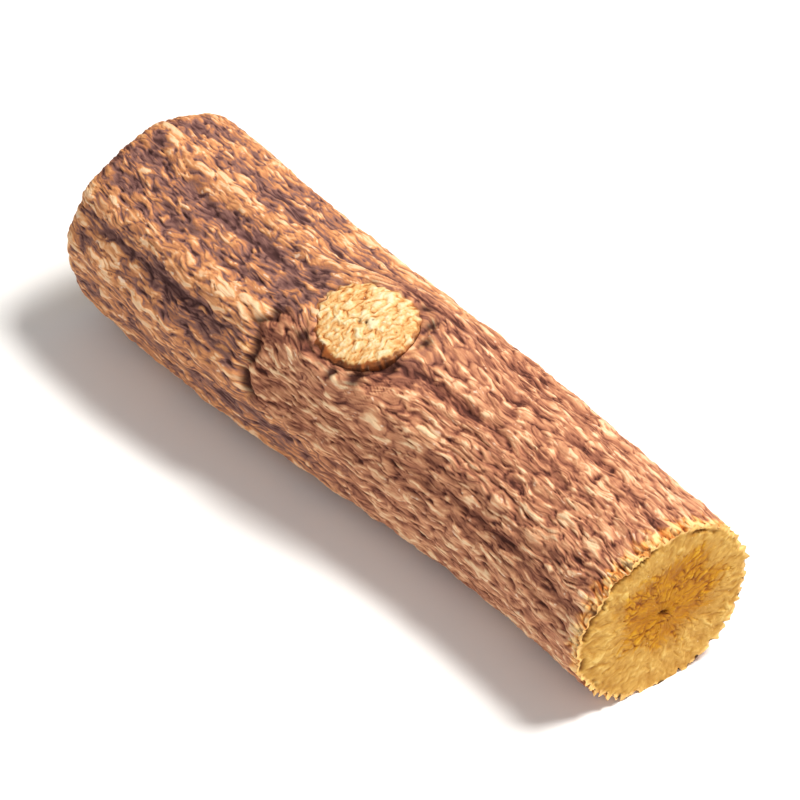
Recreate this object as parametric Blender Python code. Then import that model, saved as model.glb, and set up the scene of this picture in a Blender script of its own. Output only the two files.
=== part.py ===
"""A cut stick of dried licorice root with the scar of a cut side branch, lying on its side.

Metres, +Z up. The stick lies along X with its thin end at +X, and its origin is under its
middle, on the surface that it rests on. A place on the bark is a distance x along the stick
and an angle round it: 0 degrees points along +Y and 90 degrees points straight up.
"""

import bmesh
import bpy
import numpy as np

MM = 0.001

# The stick's own size.
LENGTH = 72.0 * MM
REAR_RADIUS = 10.3 * MM
FRONT_RADIUS = 8.9 * MM
SIDE_BEND = 0.9 * MM  # how far the S-shaped bend swings to each side
OVALITY = 0.018
PRESSED_DEPTH = 0.4 * MM  # how much of the underside is worn flat where the stick rests

# The two saw cuts: how many teeth of torn fibre stand round each, and how each plane leans.
TEETH = 56
TOOTH_DEPTH = 0.25 * MM
TOOTH_REACH = 0.25 * MM  # how far a torn fibre may stand out of the cut, or fall short of it
TORN_WIDTH = 0.55 * MM
FRONT_LEAN = (0.056, 0.047)  # slope of the cut along Y and along Z
REAR_LEAN = (0.056, 0.042)
REAR_TOOTH_SHARE = 0.3  # how much smaller the fibres are round the worn rear cut
WORN_EDGE = 1.1 * MM  # how far the bark draws in at its rounded rear edge
WORN_WIDTH = 2.2 * MM
RAY_RELIEF = 0.06 * MM
PITH_DEPTH = 0.45 * MM
HEART_SHARE = 0.55  # the golden heart's radius, as a share of the face's

# Wide ridges of old bark: angle at the rear, drift to the front, height, and the x where
# each starts to fade.
BOLD_RIDGES = (
    (93.0, -12.0, 0.52 * MM, -9 * MM),
    (142.0, -6.0, 0.58 * MM, -14 * MM),
    (172.0, 6.0, 0.48 * MM, -6 * MM),
    (211.0, 5.0, 0.36 * MM, 4 * MM),
    (250.0, -5.0, 0.25 * MM, 0 * MM),
    (296.0, 6.0, 0.34 * MM, -2 * MM),
    (334.0, 4.0, 0.42 * MM, 10 * MM),
    (17.0, -7.0, 0.45 * MM, 2 * MM),
    (52.0, -5.0, 0.40 * MM, 14 * MM),
)
RIDGE_WIDTH = 1.15 * MM
RIDGE_FADE = 14 * MM
RIDGE_LEFT = 0.30  # the share of its height that a ridge keeps past its fade
FINE_RIDGES = 28
FINE_RELIEF = 0.20 * MM
SCALE_RELIEF = 0.11 * MM  # the short, staggered scales that the bark breaks into
SCALE_LENGTH = 5.6 * MM
SCALES_ROUND = 17

# The scar of the cut branch, and the collar of bark that swells round it.
SCAR_X = -0.9 * MM
SCAR_ANGLE = 107.0
SCAR_HALF_LENGTH = 5.3 * MM
SCAR_HALF_WIDTH = 4.6 * MM
SCAR_RISE = 1.15 * MM
SCAR_DOME = 0.75 * MM  # how much the cut face falls away to its two sides
SCAR_STEP = 0.45 * MM  # how far the cut face stands out of the bark collar round it
SCAR_OVERHANG = 0.2 * MM
SCAR_ROOT = 3.5 * MM  # how deep the branch is sunk in the stick
SCAR_TEETH = 22
COLLAR_WIDTH = 0.16  # the collar's level width, as a share of the scar's size
COLLAR_FALL = 0.42  # the width over which it falls back to the stick, the same way
SWELL_REACH = 2.6  # how much longer that fall is on the side towards the front

# Grooves in the bark, as runs of (x in mm, angle), each with a depth and a width.
GROOVES = (
    # under the scar and on towards the front
    (((-8.4, 140), (-3.8, 134), (0.9, 128), (5.0, 118), (9.0, 113), (20.0, 110)), 0.45, 0.8),
    # along the far side of the scar
    (((-11.0, 79), (-4.0, 74), (2.5, 74), (9.0, 67), (22.0, 62)), 0.45, 0.75),
    # the long dark valleys of the old bark
    (((-35.0, 109), (-20.0, 104), (-8.0, 103)), 0.40, 1.3),
    (((-35.0, 153), (-22.0, 152), (-10.0, 153)), 0.36, 1.1),
    # on the sides that face away
    (((-30.0, 232), (-8.0, 228), (16.0, 236)), 0.32, 0.9),
    (((-24.0, 318), (4.0, 314), (30.0, 322)), 0.32, 0.9),
    (((-34.0, 357), (-12.0, 2), (10.0, 354)), 0.30, 0.9),
    (((2.0, 160), (16.0, 156), (33.0, 161)), 0.30, 0.9),
    (((10.0, 88), (24.0, 84), (34.0, 87)), 0.26, 0.8),
)
# The crack across the bark where the old layer ends: (x in mm, angle).
CRACK = ((-8.6, 128), (-9.8, 140), (-8.8, 152), (-9.4, 163), (-8.0, 175))
CRACK_DEPTH = 0.45 * MM
CRACK_WIDTH = 0.7 * MM
OLD_LAYER_RISE = 0.32 * MM
OLD_LAYER_ARC = (120.0, 182.0)

# How finely the stick is drawn.
SIDES = 2 * TEETH
ROWS = 42
ROW_CROWDING = 1.3  # how much closer the rows stand round the scar and the crack
CROWD_X = -5.0 * MM
CROWD_REACH = 8.0 * MM

BARK_COLOUR = (0.23, 0.105, 0.052, 1.0)
WOOD_COLOUR = (0.80, 0.53, 0.16, 1.0)
SCAR_COLOUR = (0.82, 0.55, 0.24, 1.0)


def clear_scene():
    """Removes whatever the file holds, so that only the root is left."""
    for leftover in list(bpy.data.objects):
        bpy.data.objects.remove(leftover, do_unlink=True)


def smooth_step(low, high, value):
    """0 below low, 1 above high, and an even S-curve between."""
    share = np.clip((value - low) / (high - low), 0.0, 1.0)
    return share * share * (3.0 - 2.0 * share)


def plain_radius(x):
    """The stick's radius without its bark relief. It thins towards the front."""
    return REAR_RADIUS + (FRONT_RADIUS - REAR_RADIUS) * smooth_step(-LENGTH / 2, LENGTH / 2, x)


def centre_line(x):
    """The middle of the stick at x: its sideways swing, and its height above the surface."""
    swing = -SIDE_BEND * np.sin(2.0 * np.pi * (x / LENGTH + 0.5))
    return swing, plain_radius(x) - PRESSED_DEPTH


def turn_between(angle, other):
    """The signed turn from other to angle, in radians, the short way round."""
    return (angle - other + np.pi) % (2.0 * np.pi) - np.pi


def scatter(number):
    """An even but irregular value from -1 to 1 for each whole number."""
    wave = np.sin(np.asarray(number, dtype=float) * 12.9898 + 0.7) * 43758.5453
    return 2.0 * (wave - np.floor(wave)) - 1.0


def bold_ridges(x, angle):
    """The wide ridges of old bark, which fade towards the front."""
    height = np.zeros_like(x)
    for number, (start, drift, rise, fade_from) in enumerate(BOLD_RIDGES):
        along = x / LENGTH + 0.5
        wander = 2.2 * np.sin(9.0 * along + 1.7 * number)
        crest = np.radians(start + drift * along + wander)
        offset = turn_between(angle, crest) * plain_radius(x)
        kept = 1.0 - (1.0 - RIDGE_LEFT) * smooth_step(fade_from, fade_from + RIDGE_FADE, x)
        height += rise * kept * np.exp(-((offset / RIDGE_WIDTH) ** 2))
    return height


def fine_ridges(x, angle):
    """The close wrinkles that run the length of the bark, with round tops and sharp valleys."""
    along = x / LENGTH
    wander = (
        0.9 * np.sin(2.0 * angle + 4.1 * along + 1.3)
        + 0.7 * np.sin(3.0 * angle - 6.3 * along + 0.4)
        + 0.6 * np.sin(5.0 * angle + 9.7 * along + 2.2)
    )
    strength = 0.7 + 0.3 * np.sin(4.0 * angle - 13.0 * along + 0.9)
    return FINE_RELIEF * strength * (np.abs(np.cos(FINE_RIDGES / 2 * angle + wander)) - 0.64)


def bark_scales(x, angle):
    """Short scales along the ridges. Neighbouring rows of them are staggered."""
    round_wave = np.sin(
        SCALES_ROUND * angle + 1.4 * np.sin(2.0 * np.pi * x / (2.7 * SCALE_LENGTH) + 2.0 * angle)
    )
    long_wave = np.sin(
        2.0 * np.pi * x / SCALE_LENGTH
        + 1.9 * np.sin(5.0 * angle + 0.8)
        + 1.2 * np.sin(11.0 * angle + 2.1)
    )
    return SCALE_RELIEF * round_wave * long_wave


def run_distance(run, x, angle):
    """How far each place on the bark is from a run of (x in mm, angle) points, and how far
    along the run its nearest point lies, from 0 to 1."""
    points = np.array([(place * MM, np.radians(turn)) for place, turn in run])
    best = np.full_like(x, np.inf)
    along = np.zeros_like(x)
    radius = plain_radius(x)
    spans = len(points) - 1
    for number in range(spans):
        (x0, a0), (x1, a1) = points[number], points[number + 1]
        dx, da = x1 - x0, turn_between(a1, a0) * radius
        px, pa = x - x0, turn_between(angle, a0) * radius
        share = np.clip((px * dx + pa * da) / (dx * dx + da * da), 0.0, 1.0)
        distance = np.hypot(px - share * dx, pa - share * da)
        closer = distance < best
        best = np.where(closer, distance, best)
        along = np.where(closer, (number + share) / spans, along)
    return best, along


def grooves(x, angle):
    """How deep the grooves cut at each place. Each one runs out at its two ends."""
    depth = np.zeros_like(x)
    for run, deepest, width in GROOVES:
        distance, along = run_distance(run, x, angle)
        ends = np.sin(np.pi * np.clip(along, 0.02, 0.98)) ** 0.4
        depth += deepest * MM * ends * np.exp(-((distance / (width * MM)) ** 2))
    return depth


def old_layer(x, angle):
    """The older layer of bark, which stands a little proud and ends at the crack."""
    distance, _ = run_distance(CRACK, x, angle)
    first, last = np.radians(OLD_LAYER_ARC)
    middle, half = (first + last) / 2, (last - first) / 2
    across = 1.0 - smooth_step(0.6 * half, half, np.abs(turn_between(angle, middle)))
    edge = np.interp(np.degrees(angle % (2.0 * np.pi)), [a for _, a in CRACK], [p for p, _ in CRACK])
    behind = 1.0 - smooth_step(-0.6 * MM, 0.2 * MM, x - edge * MM)
    near = smooth_step(-34 * MM, -20 * MM, x)
    crack = CRACK_DEPTH * np.exp(-((distance / CRACK_WIDTH) ** 2))
    return OLD_LAYER_RISE * across * behind * near - crack


def collar(x, angle):
    """The bark that swells up round the scar and runs on a little way in front of it.

    It is level with the scar's cut face, less a small step, and falls back to the stick."""
    radius = plain_radius(x)
    turn = turn_between(angle, np.radians(SCAR_ANGLE))
    edge = np.arcsin(SCAR_HALF_WIDTH / radius)
    share = np.clip(turn / edge, -1.0, 1.0)
    level = plain_radius(SCAR_X) + SCAR_RISE - SCAR_STEP - SCAR_DOME * share**2
    level = level / np.cos(share * edge)
    along = (x - SCAR_X) / SCAR_HALF_LENGTH
    size = np.hypot(along, turn / edge)
    ahead = np.clip(along / np.maximum(size, 0.001), 0.0, 1.0)
    fall = COLLAR_FALL * (1.0 + (SWELL_REACH - 1.0) * ahead**2)
    beyond = np.maximum(size - 1.0 - COLLAR_WIDTH, 0.0) / fall
    return np.maximum(level - radius, 0.0) * np.exp(-(beyond**2))


def bark_radius(x, angle):
    """The whole radius of the bark at each place."""
    oval = 1.0 + OVALITY * np.cos(2.0 * angle - 0.6)
    lumps = 0.16 * MM * np.sin(3.0 * angle + 1.1 + 7.0 * x / LENGTH)
    inset = np.clip(1.0 - (x + LENGTH / 2) / WORN_WIDTH, 0.0, 1.0)
    worn = WORN_EDGE * (1.0 - np.sqrt(1.0 - inset**2))
    swelling = collar(x, angle)
    calm = 1.0 - 0.6 * np.clip(swelling / SCAR_RISE, 0.0, 1.0)
    relief = bold_ridges(x, angle) + fine_ridges(x, angle) + bark_scales(x, angle)
    relief = relief * calm + old_layer(x, angle) - grooves(x, angle)
    return plain_radius(x) * oval + lumps * calm + relief + swelling - worn


def bark_points(x, angle, radius):
    """Places in space at that radius, with the underside worn flat where the stick rests."""
    swing, height = centre_line(x)
    y = swing + radius * np.cos(angle)
    z = height + radius * np.sin(angle)
    return np.stack([x, y, np.maximum(z, 0.0)], axis=-1)


def row_places():
    """Where the rings of points stand along the stick, from 0 to 1, closer near the scar."""
    fine = np.linspace(-LENGTH / 2, LENGTH / 2, 400)
    density = 1.0 + ROW_CROWDING * np.exp(-(((fine - CROWD_X) / CROWD_REACH) ** 2))
    count = np.concatenate([[0.0], np.cumsum((density[1:] + density[:-1]) / 2)])
    return np.interp(np.linspace(0.0, count[-1], ROWS + 1), count, fine)


def lean_ends(points):
    """Slides the points along X so that both ends lie in their leaning saw cuts."""
    x, y, z = points[..., 0], points[..., 1], points[..., 2]
    share = x / LENGTH + 0.5
    middle = (REAR_RADIUS + FRONT_RADIUS) / 2
    front = FRONT_LEAN[0] * y + FRONT_LEAN[1] * (z - middle)
    rear = REAR_LEAN[0] * y + REAR_LEAN[1] * (z - middle)
    points[..., 0] = x + share**3 * front + (1.0 - share) ** 3 * rear
    return points


def ring(x, angles, radius):
    """One ring of points at x."""
    return lean_ends(bark_points(np.full_like(angles, x), angles, radius))


def face_rings(end_x, outward, angles):
    """The rings of a saw-cut face, from its torn rim to the pith, and then the pith's point."""
    rim = bark_radius(np.full_like(angles, end_x), angles)
    number = np.arange(len(angles))
    tooth = np.where(number % 2 == 0, 1.0, -1.0) * (0.65 + 0.35 * scatter(number + 7 * outward))
    size = 1.0 if outward > 0 else REAR_TOOTH_SHARE
    torn = ring(end_x, angles, rim + size * TOOTH_DEPTH * tooth)
    torn[:, 0] += outward * size * TOOTH_REACH * scatter(3 * number + outward)
    rings = [torn]
    for share in (0.90, 0.74, HEART_SHARE):
        at = ring(end_x, angles, rim * share)
        at[:, 0] += outward * RAY_RELIEF * scatter(number + 100 * share)
        rings.append(at)
    inner = angles[::2]
    for share, sink in ((0.36, 0.15), (0.12, 0.6)):
        at = ring(end_x, inner, rim[::2] * share)
        at[:, 0] -= outward * PITH_DEPTH * sink
        rings.append(at)
    pith = ring(end_x, angles[:1], rim[:1] * 0.0)[0]
    pith[0] -= outward * PITH_DEPTH
    return rings, pith


def join_rings(bm, outer, inner, flip, material):
    """Faces between two rings. The inner ring has as many points as the outer, or half."""
    count = len(outer)
    step = count // len(inner)
    for k in range(0, count, step):
        here, there = inner[k // step], inner[(k // step + 1) % len(inner)]
        corners = [outer[(k + n) % count] for n in range(step + 1)]
        if step == 1:
            faces = [[corners[0], corners[1], there, here]]
        else:
            faces = [
                [corners[0], corners[1], here],
                [corners[1], there, here],
                [corners[1], corners[2], there],
            ]
        for corner_list in faces:
            made = bm.faces.new(corner_list[::-1] if flip else corner_list)
            made.material_index = material


def close_ring(bm, inner, tip, flip, material):
    """A fan of faces from the last ring to one point."""
    for k, here in enumerate(inner):
        corner_list = [here, inner[(k + 1) % len(inner)], tip]
        made = bm.faces.new(corner_list[::-1] if flip else corner_list)
        made.material_index = material


def material(name, colour, roughness):
    """A plain material for one finish of the root."""
    made = bpy.data.materials.new(name)
    made.use_nodes = True
    shader = made.node_tree.nodes["Principled BSDF"]
    shader.inputs["Base Color"].default_value = colour
    shader.inputs["Roughness"].default_value = roughness
    shader.inputs["Metallic"].default_value = 0.0
    return made


def add_object(name, bm, materials):
    """Puts a finished mesh in the scene, shaded smooth except at its sharp edges."""
    mesh = bpy.data.meshes.new(name)
    bm.to_mesh(mesh)
    bm.free()
    for finish in materials:
        mesh.materials.append(finish)
    mesh.shade_smooth()
    mesh.set_sharp_from_angle(angle=np.radians(50.0))
    made = bpy.data.objects.new(name, mesh)
    bpy.context.scene.collection.objects.link(made)
    return made


def build_stick(materials):
    """The stick itself: its ridged bark and its two saw-cut faces, as one closed mesh."""
    bm = bmesh.new()
    angles = np.linspace(0.0, 2.0 * np.pi, SIDES, endpoint=False)
    places = row_places()
    places[1] = -LENGTH / 2 + TORN_WIDTH
    places[-2] = LENGTH / 2 - TORN_WIDTH
    rows = []
    for x in places[1:-1]:
        radius = bark_radius(np.full_like(angles, x), angles)
        rows.append([bm.verts.new(p) for p in ring(x, angles, radius)])
    ends = []
    for end_x, outward in ((-LENGTH / 2, -1.0), (LENGTH / 2, 1.0)):
        rings, pith = face_rings(end_x, outward, angles)
        made = [[bm.verts.new(p) for p in at] for at in rings]
        ends.append((made, bm.verts.new(pith), outward > 0))
    (rear, rear_pith, _), (front, front_pith, _) = ends
    bark = [rear[0], *rows, front[0]]
    for outer, inner in zip(bark[:-1], bark[1:]):
        join_rings(bm, outer, inner, False, 0)
    for rings, pith, is_front in ends:
        for outer, inner in zip(rings[:-1], rings[1:]):
            join_rings(bm, outer, inner, not is_front, 1)
        close_ring(bm, rings[-1], pith, not is_front, 1)
    bmesh.ops.recalc_face_normals(bm, faces=bm.faces)
    bmesh.ops.triangulate(bm, faces=bm.faces)
    return add_object("licorice_root", bm, materials)


def scar_frame():
    """The scar's middle on the stick's axis, and its three directions: along, across, out."""
    x = np.array([SCAR_X])
    swing, height = centre_line(x)
    turn = np.radians(SCAR_ANGLE)
    middle = np.array([SCAR_X, swing[0], height[0]])
    along = np.array([1.0, 0.0, 0.0])
    across = np.array([0.0, -np.sin(turn), np.cos(turn)])
    out = np.array([0.0, np.cos(turn), np.sin(turn)])
    return middle, along, across, out


def build_branch(materials):
    """The stub of the cut side branch: a short flared plug with a rough oval face."""
    middle, along, across, out = scar_frame()
    face = float(plain_radius(SCAR_X)) + SCAR_RISE
    count = 2 * SCAR_TEETH
    angles = np.linspace(0.0, 2.0 * np.pi, count, endpoint=False)
    number = np.arange(count)
    tooth = np.where(number % 2 == 0, 1.0, -1.0) * (0.65 + 0.35 * scatter(number + 31))

    def oval(share, grow, lift):
        """An oval ring: the face's outline at that share, grown by that much at each point."""
        flat = np.outer((share * SCAR_HALF_LENGTH + grow) * np.cos(angles), along)
        flat += np.outer((share * SCAR_HALF_WIDTH + grow) * np.sin(angles), across)
        domed = lift - SCAR_DOME * (share * np.sin(angles)) ** 2
        return middle + flat + np.outer(domed, out)

    rings = [
        oval(0.75, 0.0, face - SCAR_ROOT),
        oval(1.0, -SCAR_OVERHANG, face - 2.0 * SCAR_STEP),
        oval(1.0, TOOTH_DEPTH * tooth, face - 0.22 * MM),
        oval(1.0, 0.5 * TOOTH_DEPTH * tooth - 0.35 * MM, face + 0.5 * RAY_RELIEF * tooth),
        oval(0.66, 0.0, face + 1.6 * RAY_RELIEF * scatter(number)),
        oval(0.32, 0.0, face + 1.6 * RAY_RELIEF * scatter(number + 57)),
    ]
    bm = bmesh.new()
    made = [[bm.verts.new(p) for p in at] for at in rings]
    for number, (outer, inner) in enumerate(zip(made[:-1], made[1:])):
        join_rings(bm, outer, inner, False, 0 if number < 2 else 2)
    close_ring(bm, made[-1], bm.verts.new(middle + (face - 2.0 * RAY_RELIEF) * out), False, 2)
    close_ring(bm, made[0], bm.verts.new(middle + (face - SCAR_ROOT) * out), True, 0)
    bmesh.ops.recalc_face_normals(bm, faces=bm.faces)
    bmesh.ops.triangulate(bm, faces=bm.faces)
    return add_object("cut_branch", bm, materials)


def fuse(stick, branch):
    """Joins the branch to the stick, as they grew, in one body."""
    union = stick.modifiers.new("grown together", "BOOLEAN")
    union.operation = "UNION"
    union.object = branch
    graph = bpy.context.evaluated_depsgraph_get()
    joined = bpy.data.meshes.new_from_object(stick.evaluated_get(graph))
    stick.modifiers.clear()
    stick.data = joined
    bpy.data.objects.remove(branch, do_unlink=True)


def stand_on_origin(root):
    """Slides the root so that its box is centred over the origin, resting on it."""
    corners = np.array([vertex.co for vertex in root.data.vertices])
    low, high = corners.min(axis=0), corners.max(axis=0)
    for vertex in root.data.vertices:
        vertex.co.x -= (low[0] + high[0]) / 2
        vertex.co.y -= (low[1] + high[1]) / 2
        vertex.co.z -= low[2]
    return low, high


def main():
    """Builds the root."""
    clear_scene()
    finishes = [
        material("bark", BARK_COLOUR, 0.8),
        material("cut_wood", WOOD_COLOUR, 0.75),
        material("scar_wood", SCAR_COLOUR, 0.8),
    ]
    stick = build_stick(finishes)
    branch = build_branch(finishes)
    fuse(stick, branch)
    stand_on_origin(stick)


main()
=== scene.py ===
"""The looks of one cut stick of licorice root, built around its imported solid.

The stick lies along X on the floor, thin end towards +X. A place on its bark is a distance x
along it and an angle round it: 0 degrees points along +Y and 90 degrees points straight up.
"""

from __future__ import annotations

import logging
from collections.abc import Sequence
from dataclasses import dataclass
from enum import Enum

import bpy
import numpy as np
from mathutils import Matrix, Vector

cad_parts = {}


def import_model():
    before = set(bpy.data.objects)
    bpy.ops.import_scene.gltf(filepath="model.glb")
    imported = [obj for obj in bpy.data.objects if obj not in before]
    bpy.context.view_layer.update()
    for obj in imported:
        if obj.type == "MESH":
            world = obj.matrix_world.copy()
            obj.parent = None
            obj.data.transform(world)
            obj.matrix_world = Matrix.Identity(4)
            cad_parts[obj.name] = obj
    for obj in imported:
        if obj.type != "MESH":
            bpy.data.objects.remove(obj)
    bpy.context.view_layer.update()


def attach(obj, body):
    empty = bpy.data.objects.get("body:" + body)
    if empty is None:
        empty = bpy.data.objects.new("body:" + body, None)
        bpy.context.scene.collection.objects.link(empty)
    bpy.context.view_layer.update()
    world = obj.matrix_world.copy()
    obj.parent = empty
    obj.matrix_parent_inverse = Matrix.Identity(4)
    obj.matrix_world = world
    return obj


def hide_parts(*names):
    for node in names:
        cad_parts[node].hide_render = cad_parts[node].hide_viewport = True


MM = 0.001
FULL_TURN = 2.0 * np.pi
BODY = "root"
CAD_NODE = "licorice_root"
LOG = logging.getLogger("licorice_root")
NEVER = 9999  # more cells than there are, for a pattern that doesn't close on itself

Colour = tuple[float, float, float]
Run = tuple[tuple[float, float], ...]
Stops = tuple[tuple[float, Colour], ...]


# Noise and patterns


def smooth_step(low: float, high: float, value: np.ndarray) -> np.ndarray:
    """0 below low, 1 above high, and an even S-curve between."""
    share = np.clip((value - low) / (high - low), 0.0, 1.0)
    return share * share * (3.0 - 2.0 * share)


def soft_peak(offset: np.ndarray, width: float) -> np.ndarray:
    """1 where the offset is 0, falling softly to nothing at about twice the width."""
    return np.exp(-((offset / width) ** 2))


def turn_between(angle: np.ndarray, other: np.ndarray | float) -> np.ndarray:
    """The signed turn from other to angle, in radians, the short way round."""
    return (angle - other + np.pi) % FULL_TURN - np.pi


def scatter(number: np.ndarray) -> np.ndarray:
    """An even but irregular value from -1 to 1 for each whole number."""
    wave = np.sin(np.asarray(number, dtype=float) * 12.9898 + 0.7) * 43758.5453
    return 2.0 * (wave - np.floor(wave)) - 1.0


def hashed(column: np.ndarray, row: np.ndarray, seed: int) -> np.ndarray:
    """An irregular value from 0 to 1 for each square of a grid.

    Args:
        column: the squares' whole-number columns.
        row: their whole-number rows.
        seed: picks one of many different patterns.

    Returns:
        One value per square.
    """
    mixed = column.astype(np.int64) * 374761393 + row.astype(np.int64) * 668265263
    mixed = (mixed + seed * 362437) & 0xFFFFFFFF
    mixed = ((mixed ^ (mixed >> 13)) * 1274126177) & 0xFFFFFFFF
    mixed = mixed ^ (mixed >> 16)
    return (mixed & 0xFFFFFF) / float(0x1000000)


def soft_noise(u: np.ndarray, v: np.ndarray, around: int, seed: int) -> np.ndarray:
    """Smooth noise from about -1 to 1 that closes on itself in v.

    Args:
        u: place along, in cells.
        v: place around, in cells.
        around: the number of cells after which v meets itself.
        seed: picks one of many different patterns.

    Returns:
        The noise at each place.
    """
    left, low = np.floor(u), np.floor(v)
    du, dv = u - left, v - low
    fade_u = du**3 * (du * (6.0 * du - 15.0) + 10.0)
    fade_v = dv**3 * (dv * (6.0 * dv - 15.0) + 10.0)
    total = np.zeros_like(u)
    for step_u in (0, 1):
        for step_v in (0, 1):
            lean = FULL_TURN * hashed(left + step_u, (low + step_v) % around, seed)
            slope = np.cos(lean) * (du - step_u) + np.sin(lean) * (dv - step_v)
            weight_u = fade_u if step_u else 1.0 - fade_u
            weight_v = fade_v if step_v else 1.0 - fade_v
            total += slope * weight_u * weight_v
    return 1.5 * total


def layered_noise(
    u: np.ndarray, v: np.ndarray, around: int, seed: int, layers: int = 3
) -> np.ndarray:
    """Several layers of soft noise, each twice as fine and half as strong as the last.

    Args:
        u: place along, in cells of the coarsest layer.
        v: place around, in the same cells.
        around: the number of cells after which v meets itself.
        seed: picks one of many different patterns.
        layers: how many layers are added.

    Returns:
        The noise at each place, from about -1 to 1.
    """
    total = np.zeros_like(u)
    weight, whole = 1.0, 0.0
    for layer in range(layers):
        scale = 2**layer
        total += weight * soft_noise(u * scale, v * scale, around * scale, seed + 17 * layer)
        whole += weight
        weight *= 0.55
    return total / whole * 1.25


def pillows(u: np.ndarray, v: np.ndarray, around: int, seed: int) -> np.ndarray:
    """Rounded bumps from 0 to about 2, parted by thin valleys at 0.

    Args:
        u: place along, in cells.
        v: place around, in the same cells.
        around: the number of cells after which v meets itself.
        seed: picks one of many different patterns.

    Returns:
        The bumps' height at each place.
    """
    return 2.2 * np.abs(soft_noise(u, v, around, seed))


# The root's form


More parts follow.
